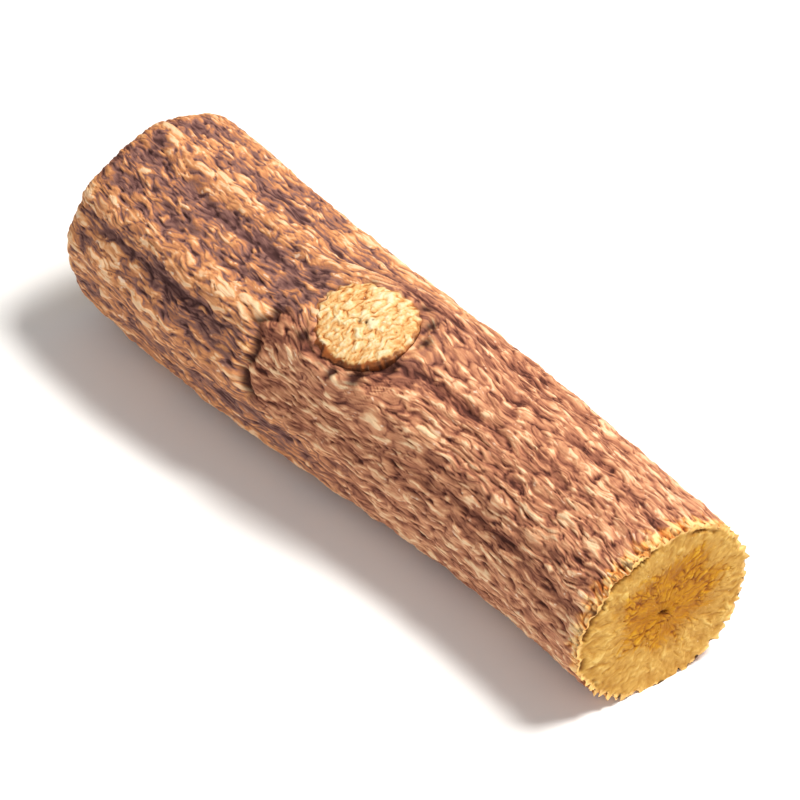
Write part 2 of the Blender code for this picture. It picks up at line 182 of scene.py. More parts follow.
@dataclass(frozen=True)
class RootForm:
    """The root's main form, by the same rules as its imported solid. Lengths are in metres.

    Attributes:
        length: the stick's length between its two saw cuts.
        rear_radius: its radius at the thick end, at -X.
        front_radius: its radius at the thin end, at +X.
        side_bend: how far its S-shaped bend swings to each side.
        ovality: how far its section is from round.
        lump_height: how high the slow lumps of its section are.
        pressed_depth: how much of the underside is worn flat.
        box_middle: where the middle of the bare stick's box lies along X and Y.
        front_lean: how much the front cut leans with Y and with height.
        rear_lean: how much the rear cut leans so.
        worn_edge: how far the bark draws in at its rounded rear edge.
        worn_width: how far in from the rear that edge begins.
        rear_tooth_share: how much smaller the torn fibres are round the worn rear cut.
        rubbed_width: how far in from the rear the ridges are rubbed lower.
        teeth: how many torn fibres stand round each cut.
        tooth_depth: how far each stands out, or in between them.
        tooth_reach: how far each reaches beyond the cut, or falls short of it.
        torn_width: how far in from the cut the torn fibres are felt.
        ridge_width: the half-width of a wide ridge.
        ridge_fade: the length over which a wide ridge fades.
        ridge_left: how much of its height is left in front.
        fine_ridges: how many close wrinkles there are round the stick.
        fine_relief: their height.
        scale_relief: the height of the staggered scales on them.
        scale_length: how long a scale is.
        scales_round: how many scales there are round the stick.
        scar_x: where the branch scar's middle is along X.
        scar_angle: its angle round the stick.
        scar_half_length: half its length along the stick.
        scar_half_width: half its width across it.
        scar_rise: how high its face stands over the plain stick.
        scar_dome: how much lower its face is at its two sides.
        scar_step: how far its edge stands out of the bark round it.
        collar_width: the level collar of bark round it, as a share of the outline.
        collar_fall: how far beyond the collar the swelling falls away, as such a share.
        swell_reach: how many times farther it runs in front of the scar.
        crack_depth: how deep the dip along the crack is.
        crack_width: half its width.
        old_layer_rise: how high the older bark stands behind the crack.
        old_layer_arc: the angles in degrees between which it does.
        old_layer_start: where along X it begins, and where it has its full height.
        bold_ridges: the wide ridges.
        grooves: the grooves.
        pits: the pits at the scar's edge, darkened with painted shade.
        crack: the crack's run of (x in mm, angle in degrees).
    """

    length: float = 72.0 * MM
    rear_radius: float = 10.3 * MM
    front_radius: float = 8.9 * MM
    side_bend: float = 0.9 * MM
    ovality: float = 0.018
    lump_height: float = 0.16 * MM
    pressed_depth: float = 0.4 * MM
    box_middle: tuple[float, float] = (0.03810 * MM, -0.72723 * MM)
    front_lean: tuple[float, float] = (0.056, 0.047)
    rear_lean: tuple[float, float] = (0.056, 0.042)
    worn_edge: float = 1.1 * MM
    worn_width: float = 2.2 * MM
    rear_tooth_share: float = 0.3
    rubbed_width: float = 6.0 * MM
    teeth: int = 56
    tooth_depth: float = 0.25 * MM
    tooth_reach: float = 0.25 * MM
    torn_width: float = 0.55 * MM
    ridge_width: float = 1.15 * MM
    ridge_fade: float = 14 * MM
    ridge_left: float = 0.30
    fine_ridges: int = 28
    fine_relief: float = 0.20 * MM
    scale_relief: float = 0.11 * MM
    scale_length: float = 5.6 * MM
    scales_round: int = 17
    scar_x: float = -0.9 * MM
    scar_angle: float = np.radians(107.0)
    scar_half_length: float = 5.3 * MM
    scar_half_width: float = 4.6 * MM
    scar_rise: float = 1.15 * MM
    scar_dome: float = 0.75 * MM
    scar_step: float = 0.45 * MM
    collar_width: float = 0.16
    collar_fall: float = 0.42
    swell_reach: float = 2.6
    crack_depth: float = 0.45 * MM
    crack_width: float = 0.7 * MM
    old_layer_rise: float = 0.32 * MM
    old_layer_arc: tuple[float, float] = (120.0, 182.0)
    old_layer_start: tuple[float, float] = (-34 * MM, -20 * MM)
    # each wide ridge's angle at the rear, drift to the front, height, and where it fades from
    bold_ridges: tuple[tuple[float, float, float, float], ...] = (
        (93.0, -12.0, 0.52 * MM, -9 * MM),
        (142.0, -6.0, 0.58 * MM, -14 * MM),
        (172.0, 6.0, 0.48 * MM, -6 * MM),
        (211.0, 5.0, 0.36 * MM, 4 * MM),
        (250.0, -5.0, 0.25 * MM, 0 * MM),
        (296.0, 6.0, 0.34 * MM, -2 * MM),
        (334.0, 4.0, 0.42 * MM, 10 * MM),
        (17.0, -7.0, 0.45 * MM, 2 * MM),
        (52.0, -5.0, 0.40 * MM, 14 * MM),
    )
    # each groove's run of (x in mm, angle), its depth and its half-width in mm
    grooves: tuple[tuple[Run, float, float], ...] = (
        (((-8.4, 140), (-3.8, 134), (0.9, 128), (5.0, 118), (9.0, 113), (20.0, 110)), 0.45, 0.8),
        (((-11.0, 79), (-4.0, 74), (2.5, 74), (9.0, 67), (22.0, 62)), 0.45, 0.75),
        (((-35.0, 109), (-20.0, 104), (-8.0, 103)), 0.40, 1.3),
        (((-35.0, 153), (-22.0, 152), (-10.0, 153)), 0.36, 1.1),
        (((-30.0, 232), (-8.0, 228), (16.0, 236)), 0.32, 0.9),
        (((-24.0, 318), (4.0, 314), (30.0, 322)), 0.32, 0.9),
        (((-34.0, 357), (-12.0, 2), (10.0, 354)), 0.30, 0.9),
        (((2.0, 160), (16.0, 156), (33.0, 161)), 0.30, 0.9),
        (((10.0, 88), (24.0, 84), (34.0, 87)), 0.26, 0.8),
    )
    # each pit's x in mm, its angle, and its half-width in mm
    pits: tuple[tuple[float, float, float], ...] = (
        (-4.7, 131.0, 0.50),
        (-5.6, 112.0, 0.38),
        (2.6, 133.5, 0.55),
        (0.2, 137.5, 0.40),
        (4.3, 118.0, 0.42),
        (3.4, 87.0, 0.45),
        (-5.4, 99.0, 0.50),
        (-4.2, 88.0, 0.42),
        (1.2, 79.5, 0.45),
        (4.7, 97.0, 0.45),
    )
    crack: Run = ((-8.6, 128), (-9.8, 140), (-8.8, 152), (-9.4, 163), (-8.0, 175))

    def plain_radius(self, x: np.ndarray) -> np.ndarray:
        """The stick's radius without its bark relief. It thins towards the front."""
        thinner = smooth_step(-self.length / 2, self.length / 2, x)
        return self.rear_radius + (self.front_radius - self.rear_radius) * thinner

    def centre_line(self, x: np.ndarray) -> tuple[np.ndarray, np.ndarray]:
        """The stick's middle at x: its sideways swing, and its height above the floor."""
        swing = -self.side_bend * np.sin(FULL_TURN * (x / self.length + 0.5))
        return swing, self.plain_radius(x) - self.pressed_depth

    def ridge_height(self, x: np.ndarray, angle: np.ndarray) -> np.ndarray:
        """The height of the wide ridges of old bark at each place."""
        height = np.zeros_like(x)
        for number, (start, drift, rise, fade_from) in enumerate(self.bold_ridges):
            along = x / self.length + 0.5
            wander = 2.2 * np.sin(9.0 * along + 1.7 * number)
            crest = np.radians(start + drift * along + wander)
            offset = turn_between(angle, crest) * self.plain_radius(x)
            fade = smooth_step(fade_from, fade_from + self.ridge_fade, x)
            kept = 1.0 - (1.0 - self.ridge_left) * fade
            height += rise * kept * soft_peak(offset, self.ridge_width)
        return height

    def wrinkle_height(self, x: np.ndarray, angle: np.ndarray) -> np.ndarray:
        """The height of the close wrinkles and the staggered scales on them."""
        along = x / self.length
        wander = (
            0.9 * np.sin(2.0 * angle + 4.1 * along + 1.3)
            + 0.7 * np.sin(3.0 * angle - 6.3 * along + 0.4)
            + 0.6 * np.sin(5.0 * angle + 9.7 * along + 2.2)
        )
        strength = 0.7 + 0.3 * np.sin(4.0 * angle - 13.0 * along + 0.9)
        folds = np.abs(np.cos(self.fine_ridges / 2 * angle + wander)) - 0.64
        slow = FULL_TURN * x / (2.7 * self.scale_length)
        round_wave = np.sin(self.scales_round * angle + 1.4 * np.sin(slow + 2.0 * angle))
        long_wave = np.sin(
            FULL_TURN * x / self.scale_length
            + 1.9 * np.sin(5.0 * angle + 0.8)
            + 1.2 * np.sin(11.0 * angle + 2.1)
        )
        return self.fine_relief * strength * folds + self.scale_relief * round_wave * long_wave

    def run_distance(
        self, run: Run, x: np.ndarray, angle: np.ndarray
    ) -> tuple[np.ndarray, np.ndarray]:
        """How far each place is from a run of (x in mm, angle) points.

        Args:
            run: the run's points.
            x: places along the stick.
            angle: their angles round it.

        Returns:
            The distance, and how far along the run its nearest point lies, from 0 to 1.
        """
        points = np.array([(place * MM, np.radians(turn)) for place, turn in run])
        best = np.full_like(x, np.inf)
        along = np.zeros_like(x)
        radius = self.plain_radius(x)
        spans = len(points) - 1
        for number in range(spans):
            (x0, a0), (x1, a1) = points[number], points[number + 1]
            dx, da = x1 - x0, turn_between(a1, a0) * radius
            px, pa = x - x0, turn_between(angle, a0) * radius
            share = np.clip((px * dx + pa * da) / (dx * dx + da * da), 0.0, 1.0)
            distance = np.hypot(px - share * dx, pa - share * da)
            closer = distance < best
            best = np.where(closer, distance, best)
            along = np.where(closer, (number + share) / spans, along)
        return best, along

    def groove_depth(self, x: np.ndarray, angle: np.ndarray, sharpen: float = 1.0) -> np.ndarray:
        """How deep the grooves cut at each place. A sharpen above 1 narrows them."""
        depth = np.zeros_like(x)
        for run, deepest, width in self.grooves:
            distance, along = self.run_distance(run, x, angle)
            ends = np.sin(np.pi * np.clip(along, 0.02, 0.98)) ** 0.4
            depth += deepest * MM * ends * soft_peak(distance * sharpen, width * MM)
        return depth

    def old_edge(self, angle: np.ndarray) -> np.ndarray:
        """Where along X the older layer of bark ends, at each angle."""
        turns = [turn for _, turn in self.crack]
        places = [place for place, _ in self.crack]
        return np.interp(np.degrees(angle % FULL_TURN), turns, places) * MM

    def old_layer(self, x: np.ndarray, angle: np.ndarray, ragged: np.ndarray | float) -> np.ndarray:
        """The older layer of bark, which stands proud and ends at a crack.

        Args:
            x: places along the stick.
            angle: their angles round it.
            ragged: how far the layer's edge is moved along X at each place.

        Returns:
            The height that it adds.
        """
        distance, _ = self.run_distance(self.crack, x - ragged, angle)
        first, last = np.radians(self.old_layer_arc)
        middle, half = (first + last) / 2, (last - first) / 2
        across = 1.0 - smooth_step(0.6 * half, half, np.abs(turn_between(angle, middle)))
        behind = 1.0 - smooth_step(-0.6 * MM, 0.2 * MM, x - ragged - self.old_edge(angle))
        begun = smooth_step(*self.old_layer_start, x)
        crack = self.crack_depth * soft_peak(distance, self.crack_width)
        return self.old_layer_rise * across * behind * begun - crack

    def scar_place(self, x: np.ndarray, angle: np.ndarray) -> tuple[np.ndarray, np.ndarray]:
        """Each place as seen from the scar's middle, in units of its outline: along, across."""
        edge = np.arcsin(self.scar_half_width / self.plain_radius(x))
        along = (x - self.scar_x) / self.scar_half_length
        return along, turn_between(angle, self.scar_angle) / edge

    def collar_rise(self, x: np.ndarray, angle: np.ndarray) -> np.ndarray:
        """How far the bark swells up round the scar."""
        radius = self.plain_radius(x)
        along, across = self.scar_place(x, angle)
        edge = np.arcsin(self.scar_half_width / radius)
        share = np.clip(across, -1.0, 1.0)
        top = float(self.plain_radius(np.array(self.scar_x))) + self.scar_rise - self.scar_step
        level = (top - self.scar_dome * share**2) / np.cos(share * edge)
        size = np.hypot(along, across)
        ahead = np.clip(along / np.maximum(size, 0.001), 0.0, 1.0)
        fall = self.collar_fall * (1.0 + (self.swell_reach - 1.0) * ahead**2)
        beyond = np.maximum(size - 1.0 - self.collar_width, 0.0) / fall
        return np.maximum(level - radius, 0.0) * soft_peak(beyond, 1.0)

    def main_radius(
        self, x: np.ndarray, angle: np.ndarray, ragged: np.ndarray | float = 0.0
    ) -> np.ndarray:
        """The whole radius of the bark's main form at each place.

        Args:
            x: places along the stick.
            angle: their angles round it.
            ragged: how far the old layer's edge is moved along X at each place.

        Returns:
            The radius.
        """
        oval = 1.0 + self.ovality * np.cos(2.0 * angle - 0.6)
        lumps = self.lump_height * np.sin(3.0 * angle + 1.1 + 7.0 * x / self.length)
        inset = np.clip(1.0 - (x + self.length / 2) / self.worn_width, 0.0, 1.0)
        worn = self.worn_edge * (1.0 - np.sqrt(1.0 - inset**2))
        swelling = self.collar_rise(x, angle)
        calm = 1.0 - 0.6 * np.clip(swelling / self.scar_rise, 0.0, 1.0)
        calm *= 0.55 + 0.45 * smooth_step(0.0, self.rubbed_width, x + self.length / 2)
        relief = (self.ridge_height(x, angle) + self.wrinkle_height(x, angle)) * calm
        relief += self.old_layer(x, angle, ragged) - self.groove_depth(x, angle)
        return self.plain_radius(x) * oval + lumps * calm + relief + swelling - worn

    def tooth(self, angle: np.ndarray, outward: float) -> tuple[np.ndarray, np.ndarray]:
        """The torn fibres round one saw cut: how far each leans out, and how far it reaches.

        Args:
            angle: angles round the stick.
            outward: 1 at the front cut and -1 at the rear one.

        Returns:
            What they add to the radius, and what they add along the outward X.
        """
        count = 2 * self.teeth
        number = np.arange(count)
        sign = np.where(number % 2 == 0, 1.0, -1.0)
        size = 1.0 if outward > 0 else self.rear_tooth_share
        depth = size * self.tooth_depth * sign * (0.65 + 0.35 * scatter(number + 7 * outward))
        reach = size * self.tooth_reach * scatter(3 * number + outward)
        place = (angle % FULL_TURN) / FULL_TURN * count
        below = np.floor(place).astype(int)
        part = 0.5 - 0.5 * np.cos(np.pi * (place - below))
        first, after = below % count, (below + 1) % count
        lean = depth[first] + (depth[after] - depth[first]) * part
        calm = 1.0 - 0.5 * smooth_step(0.1, 0.8, -np.sin(angle))
        return lean, (reach[first] + (reach[after] - reach[first]) * part) * calm

    def place(self, x: np.ndarray, angle: np.ndarray, radius: np.ndarray) -> np.ndarray:
        """The points in the row's frame at those places and that radius.

        Args:
            x: places along the stick.
            angle: their angles round it.
            radius: how far each point is from the stick's centre line.

        Returns:
            The points, as one row of three for each place.
        """
        swing, height = self.centre_line(x)
        y = swing + radius * np.cos(angle)
        z = np.maximum(height + radius * np.sin(angle), 0.0)
        share = x / self.length + 0.5
        middle = (self.rear_radius + self.front_radius) / 2
        front = self.front_lean[0] * y + self.front_lean[1] * (z - middle)
        rear = self.rear_lean[0] * y + self.rear_lean[1] * (z - middle)
        leaned = x + share**3 * front + (1.0 - share) ** 3 * rear
        return np.stack([leaned - self.box_middle[0], y - self.box_middle[1], z], axis=-1)

    def scar_frame(self) -> tuple[np.ndarray, np.ndarray, np.ndarray, np.ndarray]:
        """The scar's middle on the stick's axis, and its directions: along, across and out."""
        swing, height = self.centre_line(np.array(self.scar_x))
        middle = np.array(
            [self.scar_x - self.box_middle[0], float(swing) - self.box_middle[1], float(height)]
        )
        turn = self.scar_angle
        across = np.array([0.0, -np.sin(turn), np.cos(turn)])
        out = np.array([0.0, np.cos(turn), np.sin(turn)])
        return middle, np.array([1.0, 0.0, 0.0]), across, out


# Meshes


def grid_faces(rows: int, columns: int, flip: bool = False) -> np.ndarray:
    """The quads of a grid whose columns close on themselves.

    Args:
        rows: how many rings of points there are.
        columns: how many points each ring has.
        flip: turns every face round.

    Returns:
        Four point numbers for each quad.
    """
    row, column = np.meshgrid(np.arange(rows - 1), np.arange(columns), indexing="ij")
    after = (column + 1) % columns
    here, beside = row * columns + column, row * columns + after
    quads = np.stack([here, beside, beside + columns, here + columns], axis=-1).reshape(-1, 4)
    return quads[:, ::-1] if flip else quads


def fan_faces(ring_start: int, columns: int, tip: int, flip: bool = False) -> list[list[int]]:
    """The triangles from one ring of points to one point."""
    faces = []
    for column in range(columns):
        face = [ring_start + column, ring_start + (column + 1) % columns, tip]
        faces.append(face[::-1] if flip else face)
    return faces


def new_piece(
    name: str,
    points: np.ndarray,
    faces: Sequence[Sequence[int]],
    values: dict[str, np.ndarray],
    finish: bpy.types.Material,
    sharp_angle: float = 60.0,
    normals: np.ndarray | None = None,
) -> bpy.types.Object:
    """A mesh object with its own values at each point, riding on the root.

    Args:
        name: the piece's name.
        points: its points, in the row's frame.
        faces: the point numbers of each face.
        values: named numbers, or named rows of three, for each point.
        finish: its material.
        sharp_angle: edges steeper than this many degrees stay sharp.
        normals: the direction that the surface faces at each point, where it isn't worked out.

    Returns:
        The new object.
    """
    mesh = bpy.data.meshes.new(name)
    mesh.from_pydata(points.tolist(), [], [list(face) for face in faces])
    for label, numbers in values.items():
        if numbers.ndim == 2:
            layer = mesh.attributes.new(label, "FLOAT_VECTOR", "POINT")
            layer.data.foreach_set("vector", numbers.astype(np.float32).ravel())
        else:
            layer = mesh.attributes.new(label, "FLOAT", "POINT")
            layer.data.foreach_set("value", numbers.astype(np.float32))
    mesh.materials.append(finish)
    mesh.shade_smooth()
    mesh.validate()
    if normals is None:
        mesh.set_sharp_from_angle(angle=np.radians(sharp_angle))
    else:
        mesh.normals_split_custom_set_from_vertices(normals.tolist())
    piece = bpy.data.objects.new(name, mesh)
    bpy.context.scene.collection.objects.link(piece)
    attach(piece, BODY)
    return piece


# Materials


def linear(red: int, green: int, blue: int) -> Colour:
    """A colour read off the screen, as the amount of light in each of its channels."""
    channels = []
    for value in (red, green, blue):
        share = value / 255.0
        low, high = share / 12.92, ((share + 0.055) / 1.055) ** 2.4
        channels.append(low if share <= 0.04045 else high)
    return channels[0], channels[1], channels[2]


class Graph:
    """Adds the nodes of one material or group, and joins them."""

    def __init__(self, tree: bpy.types.NodeTree) -> None:
        """Keeps the tree that the nodes go in."""
        self.tree = tree

    def feed(self, socket: bpy.types.NodeSocket, value: object) -> None:
        """Joins a socket to another one, or sets it to a number or a colour."""
        if isinstance(value, bpy.types.NodeSocket):
            self.tree.links.new(value, socket)
        elif isinstance(value, tuple) and len(value) == 3 and socket.type == "RGBA":
            socket.default_value = (*value, 1.0)
        else:
            socket.default_value = value

    def node(self, kind: str, inputs: dict[object, object], **settings: object) -> bpy.types.Node:
        """Adds one node.

        Args:
            kind: the node's type.
            inputs: what goes into its sockets, by name or number.
            settings: its other settings.

        Returns:
            The node.
        """
        made = self.tree.nodes.new(kind)
        for name, value in settings.items():
            setattr(made, name, value)
        for key, value in inputs.items():
            self.feed(made.inputs[key], value)
        return made

    def attribute(self, name: str, vector: bool = False) -> bpy.types.NodeSocket:
        """The value, or the row of three, that each point of the mesh keeps under that name."""
        made = self.node("ShaderNodeAttribute", {}, attribute_name=name)
        return made.outputs["Vector" if vector else "Fac"]

    def math(
        self, operation: str, first: object, second: object = 0.0, clamp: bool = False
    ) -> bpy.types.NodeSocket:
        """One sum of two values, kept between 0 and 1 where it is clamped."""
        sockets = {0: first, 1: second}
        made = self.node("ShaderNodeMath", sockets, operation=operation, use_clamp=clamp)
        return made.outputs[0]

    def add(self, first: object, second: object, clamp: bool = False) -> bpy.types.NodeSocket:
        """Two values added up."""
        return self.math("ADD", first, second, clamp)

    def less(self, first: object, second: object) -> bpy.types.NodeSocket:
        """The first value less the second."""
        return self.math("SUBTRACT", first, second)

    def times(self, first: object, second: object, clamp: bool = False) -> bpy.types.NodeSocket:
        """Two values multiplied."""
        return self.math("MULTIPLY", first, second, clamp)

    def spread(
        self, value: object, low: float, high: float, to_low: float = 0.0, to_high: float = 1.0
    ) -> bpy.types.NodeSocket:
        """A value's range from low to high, stretched smoothly to another range."""
        sockets = {
            "Value": value,
            "From Min": low,
            "From Max": high,
            "To Min": to_low,
            "To Max": to_high,
        }
        made = self.node("ShaderNodeMapRange", sockets, interpolation_type="SMOOTHSTEP")
        return made.outputs["Result"]

    def ramp(self, value: object, stops: Stops) -> bpy.types.NodeSocket:
        """A colour that runs through the stops as the value goes from 0 to 1."""
        made = self.node("ShaderNodeValToRGB", {0: value})
        band = made.color_ramp
        while len(band.elements) < len(stops):
            band.elements.new(0.5)
        for element, (place, colour) in zip(band.elements, stops):
            element.position = place
            element.color = (*colour, 1.0)
        return made.outputs["Color"]

    def mix(self, share: object, first: object, second: object) -> bpy.types.NodeSocket:
        """The first colour where the share is 0, and the second where it is 1."""
        made = self.node("ShaderNodeMix", {0: share, 6: first, 7: second}, data_type="RGBA")
        return made.outputs[2]

    def stretch(self, place: object, scale: object) -> bpy.types.NodeSocket:
        """A place, scaled by its own amount in each direction."""
        made = self.node("ShaderNodeVectorMath", {0: place, 1: scale}, operation="MULTIPLY")
        return made.outputs[0]

    def noise(
        self,
        place: object,
        scale: object,
        detail: float = 3.0,
        roughness: float = 0.55,
        curl: object = 0.0,
    ) -> bpy.types.NodeSocket:
        """Soft noise from 0 to 1.

        Args:
            place: where it is worked out.
            scale: how many of its lumps there are to one unit.
            detail: how many finer layers it has.
            roughness: how strong the finer layers are.
            curl: how much its lumps are bent and hooked.

        Returns:
            The noise.
        """
        made = self.node(
            "ShaderNodeTexNoise",
            {
                "Vector": place,
                "Scale": scale,
                "Detail": detail,
                "Roughness": roughness,
                "Distortion": curl,
            },
        )
        return made.outputs["Fac"]

    def relief(self, shader: bpy.types.Node, height: object, strength: float, depth: float) -> None:
        """Roughens a shader's surface by a height, to that depth in metres."""
        sockets = {"Height": height, "Strength": strength, "Distance": depth}
        bump = self.node("ShaderNodeBump", sockets)
        self.feed(shader.inputs["Normal"], bump.outputs["Normal"])


class GroupName(Enum):
    """The effects that several finishes share."""

    FIBRES = "long fibres"
    STROKES = "rounded strokes"
    SPECKS = "pale specks"
    DRIFT = "slow drift of tone"


class SharedEffects:
    """Builds each shared effect once, and places it in the finishes."""

    def __init__(self) -> None:
        """Builds the groups."""
        self.groups = {
            GroupName.FIBRES: self._fibres(),
            GroupName.STROKES: self._strokes(),
            GroupName.SPECKS: self._specks(),
            GroupName.DRIFT: self._drift(),
        }

    @staticmethod
    def _start(
        name: GroupName, inputs: Sequence[tuple[str, float]], output: str
    ) -> tuple[Graph, bpy.types.Node, bpy.types.NodeSocket]:
        """A new group that takes a place and some numbers, and puts out one number.

        Args:
            name: the group's name.
            inputs: each number's name and usual value.
            output: the name of what it puts out.

        Returns:
            Its graph, the node that its inputs come from, and the socket for what it puts out.
        """
        tree = bpy.data.node_groups.new(name.value, "ShaderNodeTree")
        face = tree.interface
        face.new_socket(name="Place", in_out="INPUT", socket_type="NodeSocketVector")
        for label, value in inputs:
            socket = face.new_socket(name=label, in_out="INPUT", socket_type="NodeSocketFloat")
            socket.default_value = value
        face.new_socket(name=output, in_out="OUTPUT", socket_type="NodeSocketFloat")
        graph = Graph(tree)
        given, result = graph.node("NodeGroupInput", {}), graph.node("NodeGroupOutput", {})
        return graph, given, result.inputs[output]

    @staticmethod
    def _drawn_out(graph: Graph, given: bpy.types.Node) -> bpy.types.NodeSocket:
        """A group's place, drawn out by its Length along the first direction."""
        squeeze = graph.math("DIVIDE", 1.0, given.outputs["Length"])
        shape = graph.node("ShaderNodeCombineXYZ", {0: squeeze, 1: 1.0, 2: 1.0})
        return graph.stretch(given.outputs["Place"], shape.outputs[0])

    def _fibres(self) -> bpy.types.NodeTree:
        """Fine threads along the first direction of the place, from about -0.5 to 0.5."""
        inputs = [("Fineness", 1.0), ("Length", 6.0), ("Curl", 0.5)]
        graph, given, result = self._start(GroupName.FIBRES, inputs, "Value")
        place, curl = self._drawn_out(graph, given), given.outputs["Curl"]
        coarse = graph.noise(place, given.outputs["Fineness"], 2.0, 0.5, curl)
        finer = graph.times(given.outputs["Fineness"], 2.7)
        fine = graph.noise(place, finer, 3.0, 0.65, curl)
        both = graph.add(graph.times(coarse, 0.55), graph.times(fine, 0.45))
        graph.feed(result, graph.less(both, 0.5))
        return graph.tree

    def _strokes(self) -> bpy.types.NodeTree:
        """Rounded strokes along the first direction: 0 in the thin valleys that part them."""
        inputs = [("Fineness", 1.0), ("Length", 3.0), ("Curl", 0.5)]
        graph, given, result = self._start(GroupName.STROKES, inputs, "Value")
        place = self._drawn_out(graph, given)
        wave = graph.noise(place, given.outputs["Fineness"], 1.0, 0.5, given.outputs["Curl"])
        folded = graph.math("ABSOLUTE", graph.less(wave, 0.5))
        graph.feed(result, graph.times(folded, 6.0, clamp=True))
        return graph.tree

    def _specks(self) -> bpy.types.NodeTree:
        """Small scattered specks: 1 in a speck and 0 between."""
        inputs = [("Fineness", 1.0), ("Amount", 0.3)]
        graph, given, result = self._start(GroupName.SPECKS, inputs, "Mask")
        dots = graph.noise(given.outputs["Place"], given.outputs["Fineness"], 2.0, 0.5)
        edge = graph.less(0.78, graph.times(given.outputs["Amount"], 0.3))
        graph.feed(result, graph.times(graph.less(dots, edge), 14.0, clamp=True))
        return graph.tree

    def _drift(self) -> bpy.types.NodeTree:
        """A slow change of tone over the surface, from minus to plus its strength."""
        inputs = [("Fineness", 1.0), ("Strength", 0.2)]
        graph, given, result = self._start(GroupName.DRIFT, inputs, "Value")
        slow = graph.noise(given.outputs["Place"], given.outputs["Fineness"], 3.0)
        doubled = graph.times(graph.less(slow, 0.5), 2.0)
        graph.feed(result, graph.times(doubled, given.outputs["Strength"]))
        return graph.tree

    def use(
        self, graph: Graph, name: GroupName, place: object, **values: float
    ) -> bpy.types.NodeSocket:
        """Places one shared effect in a material.

        Args:
            graph: the material's graph.
            name: which effect.
            place: where on the surface it is worked out.
            values: its numbers, by name.

        Returns:
            What it puts out.
        """
        made = graph.node("ShaderNodeGroup", {}, node_tree=self.groups[name])
        graph.feed(made.inputs["Place"], place)
        for label, value in values.items():
            graph.feed(made.inputs[label], value)
        return made.outputs[0]


def start_material(
    name: str, roughness: float
) -> tuple[Graph, bpy.types.Node, bpy.types.Material]:
    """A new material: its graph, its Principled shader and itself."""
    made = bpy.data.materials.new(name)
    made.use_nodes = True
    graph = Graph(made.node_tree)
    shader = made.node_tree.nodes["Principled BSDF"]
    shader.inputs["Roughness"].default_value = roughness
    return graph, shader, made


@dataclass(frozen=True)
class BarkFinish:
    """Dry bark: purple-brown in its furrows, tan on its ridges, and orange where it is torn.

    Attributes:
        roughness: how dull it is on average.
        bump: how strong its finest relief is.
        gloss: how much it mirrors.
        fibre_contrast: how much the finest fibres change its tone.
        stroke_contrast: how much the fine strokes, and the valleys between them, do.
        tones: the young bark's colours from its furrows to its ridges.
        old_tones: the same for the older bark.
        torn_tones: the same for torn fibres.
        speck: the colour of its pale specks, painted glints of highlight on the lighter bark.
        cleft: the painted shade down in its cracks, pits, slits and notches, and round the branch
            scar.
    """

    roughness: float = 0.74
    bump: float = 0.45
    gloss: float = 0.30
    fibre_contrast: float = 0.9
    stroke_contrast: float = 0.21
    tones: Stops = (
        (0.00, linear(80, 40, 30)),
        (0.20, linear(124, 71, 53)),
        (0.38, linear(154, 96, 71)),
        (0.55, linear(186, 122, 88)),
        (0.75, linear(216, 154, 112)),
        (1.00, linear(244, 206, 162)),
    )
    old_tones: Stops = (
        (0.00, linear(78, 47, 44)),
        (0.22, linear(114, 76, 70)),
        (0.40, linear(142, 100, 88)),
        (0.57, linear(184, 119, 80)),
        (0.80, linear(226, 156, 100)),
        (1.00, linear(242, 200, 156)),
    )
    torn_tones: Stops = (
        (0.00, linear(112, 52, 18)),
        (0.35, linear(200, 112, 44)),
        (0.65, linear(240, 162, 80)),
        (1.00, linear(255, 210, 142)),
    )
    speck: Colour = linear(246, 222, 196)
    cleft: Colour = linear(62, 26, 14)

    def build(self, effects: SharedEffects) -> bpy.types.Material:
        """The material.

        Args:
            effects: the shared effects that it uses.

        Returns:
            The material, for a mesh that keeps tone, age, torn, dark and grain.
        """
        graph, shader, made = start_material("licorice bark", self.roughness)
        grain = graph.attribute("grain", vector=True)
        long_grain = graph.stretch(grain, (0.45, 1.0, 1.0))
        fibre_size = {"Fineness": 2.3, "Length": 3.8, "Curl": 0.5}
        fibres = effects.use(graph, GroupName.FIBRES, grain, **fibre_size)
        fine_size = {"Fineness": 7.0, "Length": 4.0, "Curl": 0.4}
        fine = effects.use(graph, GroupName.FIBRES, grain, **fine_size)
        stroke_size = {"Fineness": 1.6, "Length": 4.4, "Curl": 0.4}
        strokes = effects.use(graph, GroupName.STROKES, grain, **stroke_size)
        drift = effects.use(graph, GroupName.DRIFT, grain, Fineness=0.16, Strength=0.10)
        specks = effects.use(graph, GroupName.SPECKS, long_grain, Fineness=2.4, Amount=0.42)

        tone = graph.add(graph.attribute("tone"), graph.times(fibres, self.fibre_contrast))
        raised = graph.times(graph.less(strokes, 0.35), self.stroke_contrast)
        some = graph.spread(graph.noise(grain, 0.55, 1.0), 0.40, 0.56)
        valley = graph.times(graph.spread(strokes, 0.0, 0.34, 1.0, 0.0), some)
        tone = graph.less(graph.add(tone, raised), graph.times(valley, self.stroke_contrast))
        tone = graph.add(tone, drift, clamp=True)
        young, old = graph.ramp(tone, self.tones), graph.ramp(tone, self.old_tones)
        colour = graph.mix(graph.attribute("age"), young, old)
        colour = graph.mix(graph.attribute("torn"), colour, graph.ramp(tone, self.torn_tones))
        # Painted highlight: pale glints, kept to the lighter tones of the bark.
        specks = graph.times(specks, graph.spread(tone, 0.38, 0.75, 0.0, 0.7))
        colour = graph.mix(specks, colour, self.speck)
        # Painted shade in the crack, the pits, the slits and notches of the rims and the moat round
        # the scar.
        colour = graph.mix(graph.attribute("dark"), colour, self.cleft)
        graph.feed(shader.inputs["Base Color"], colour)
        rough = graph.spread(tone, 0.1, 0.9, self.roughness + 0.14, self.roughness - 0.14)
        graph.feed(shader.inputs["Roughness"], rough)
        shader.inputs["Specular IOR Level"].default_value = self.gloss
        height = graph.add(graph.add(fibres, graph.times(fine, 0.6)), graph.times(strokes, 0.5))
        graph.relief(shader, height, self.bump, 0.25 * MM)
        return made


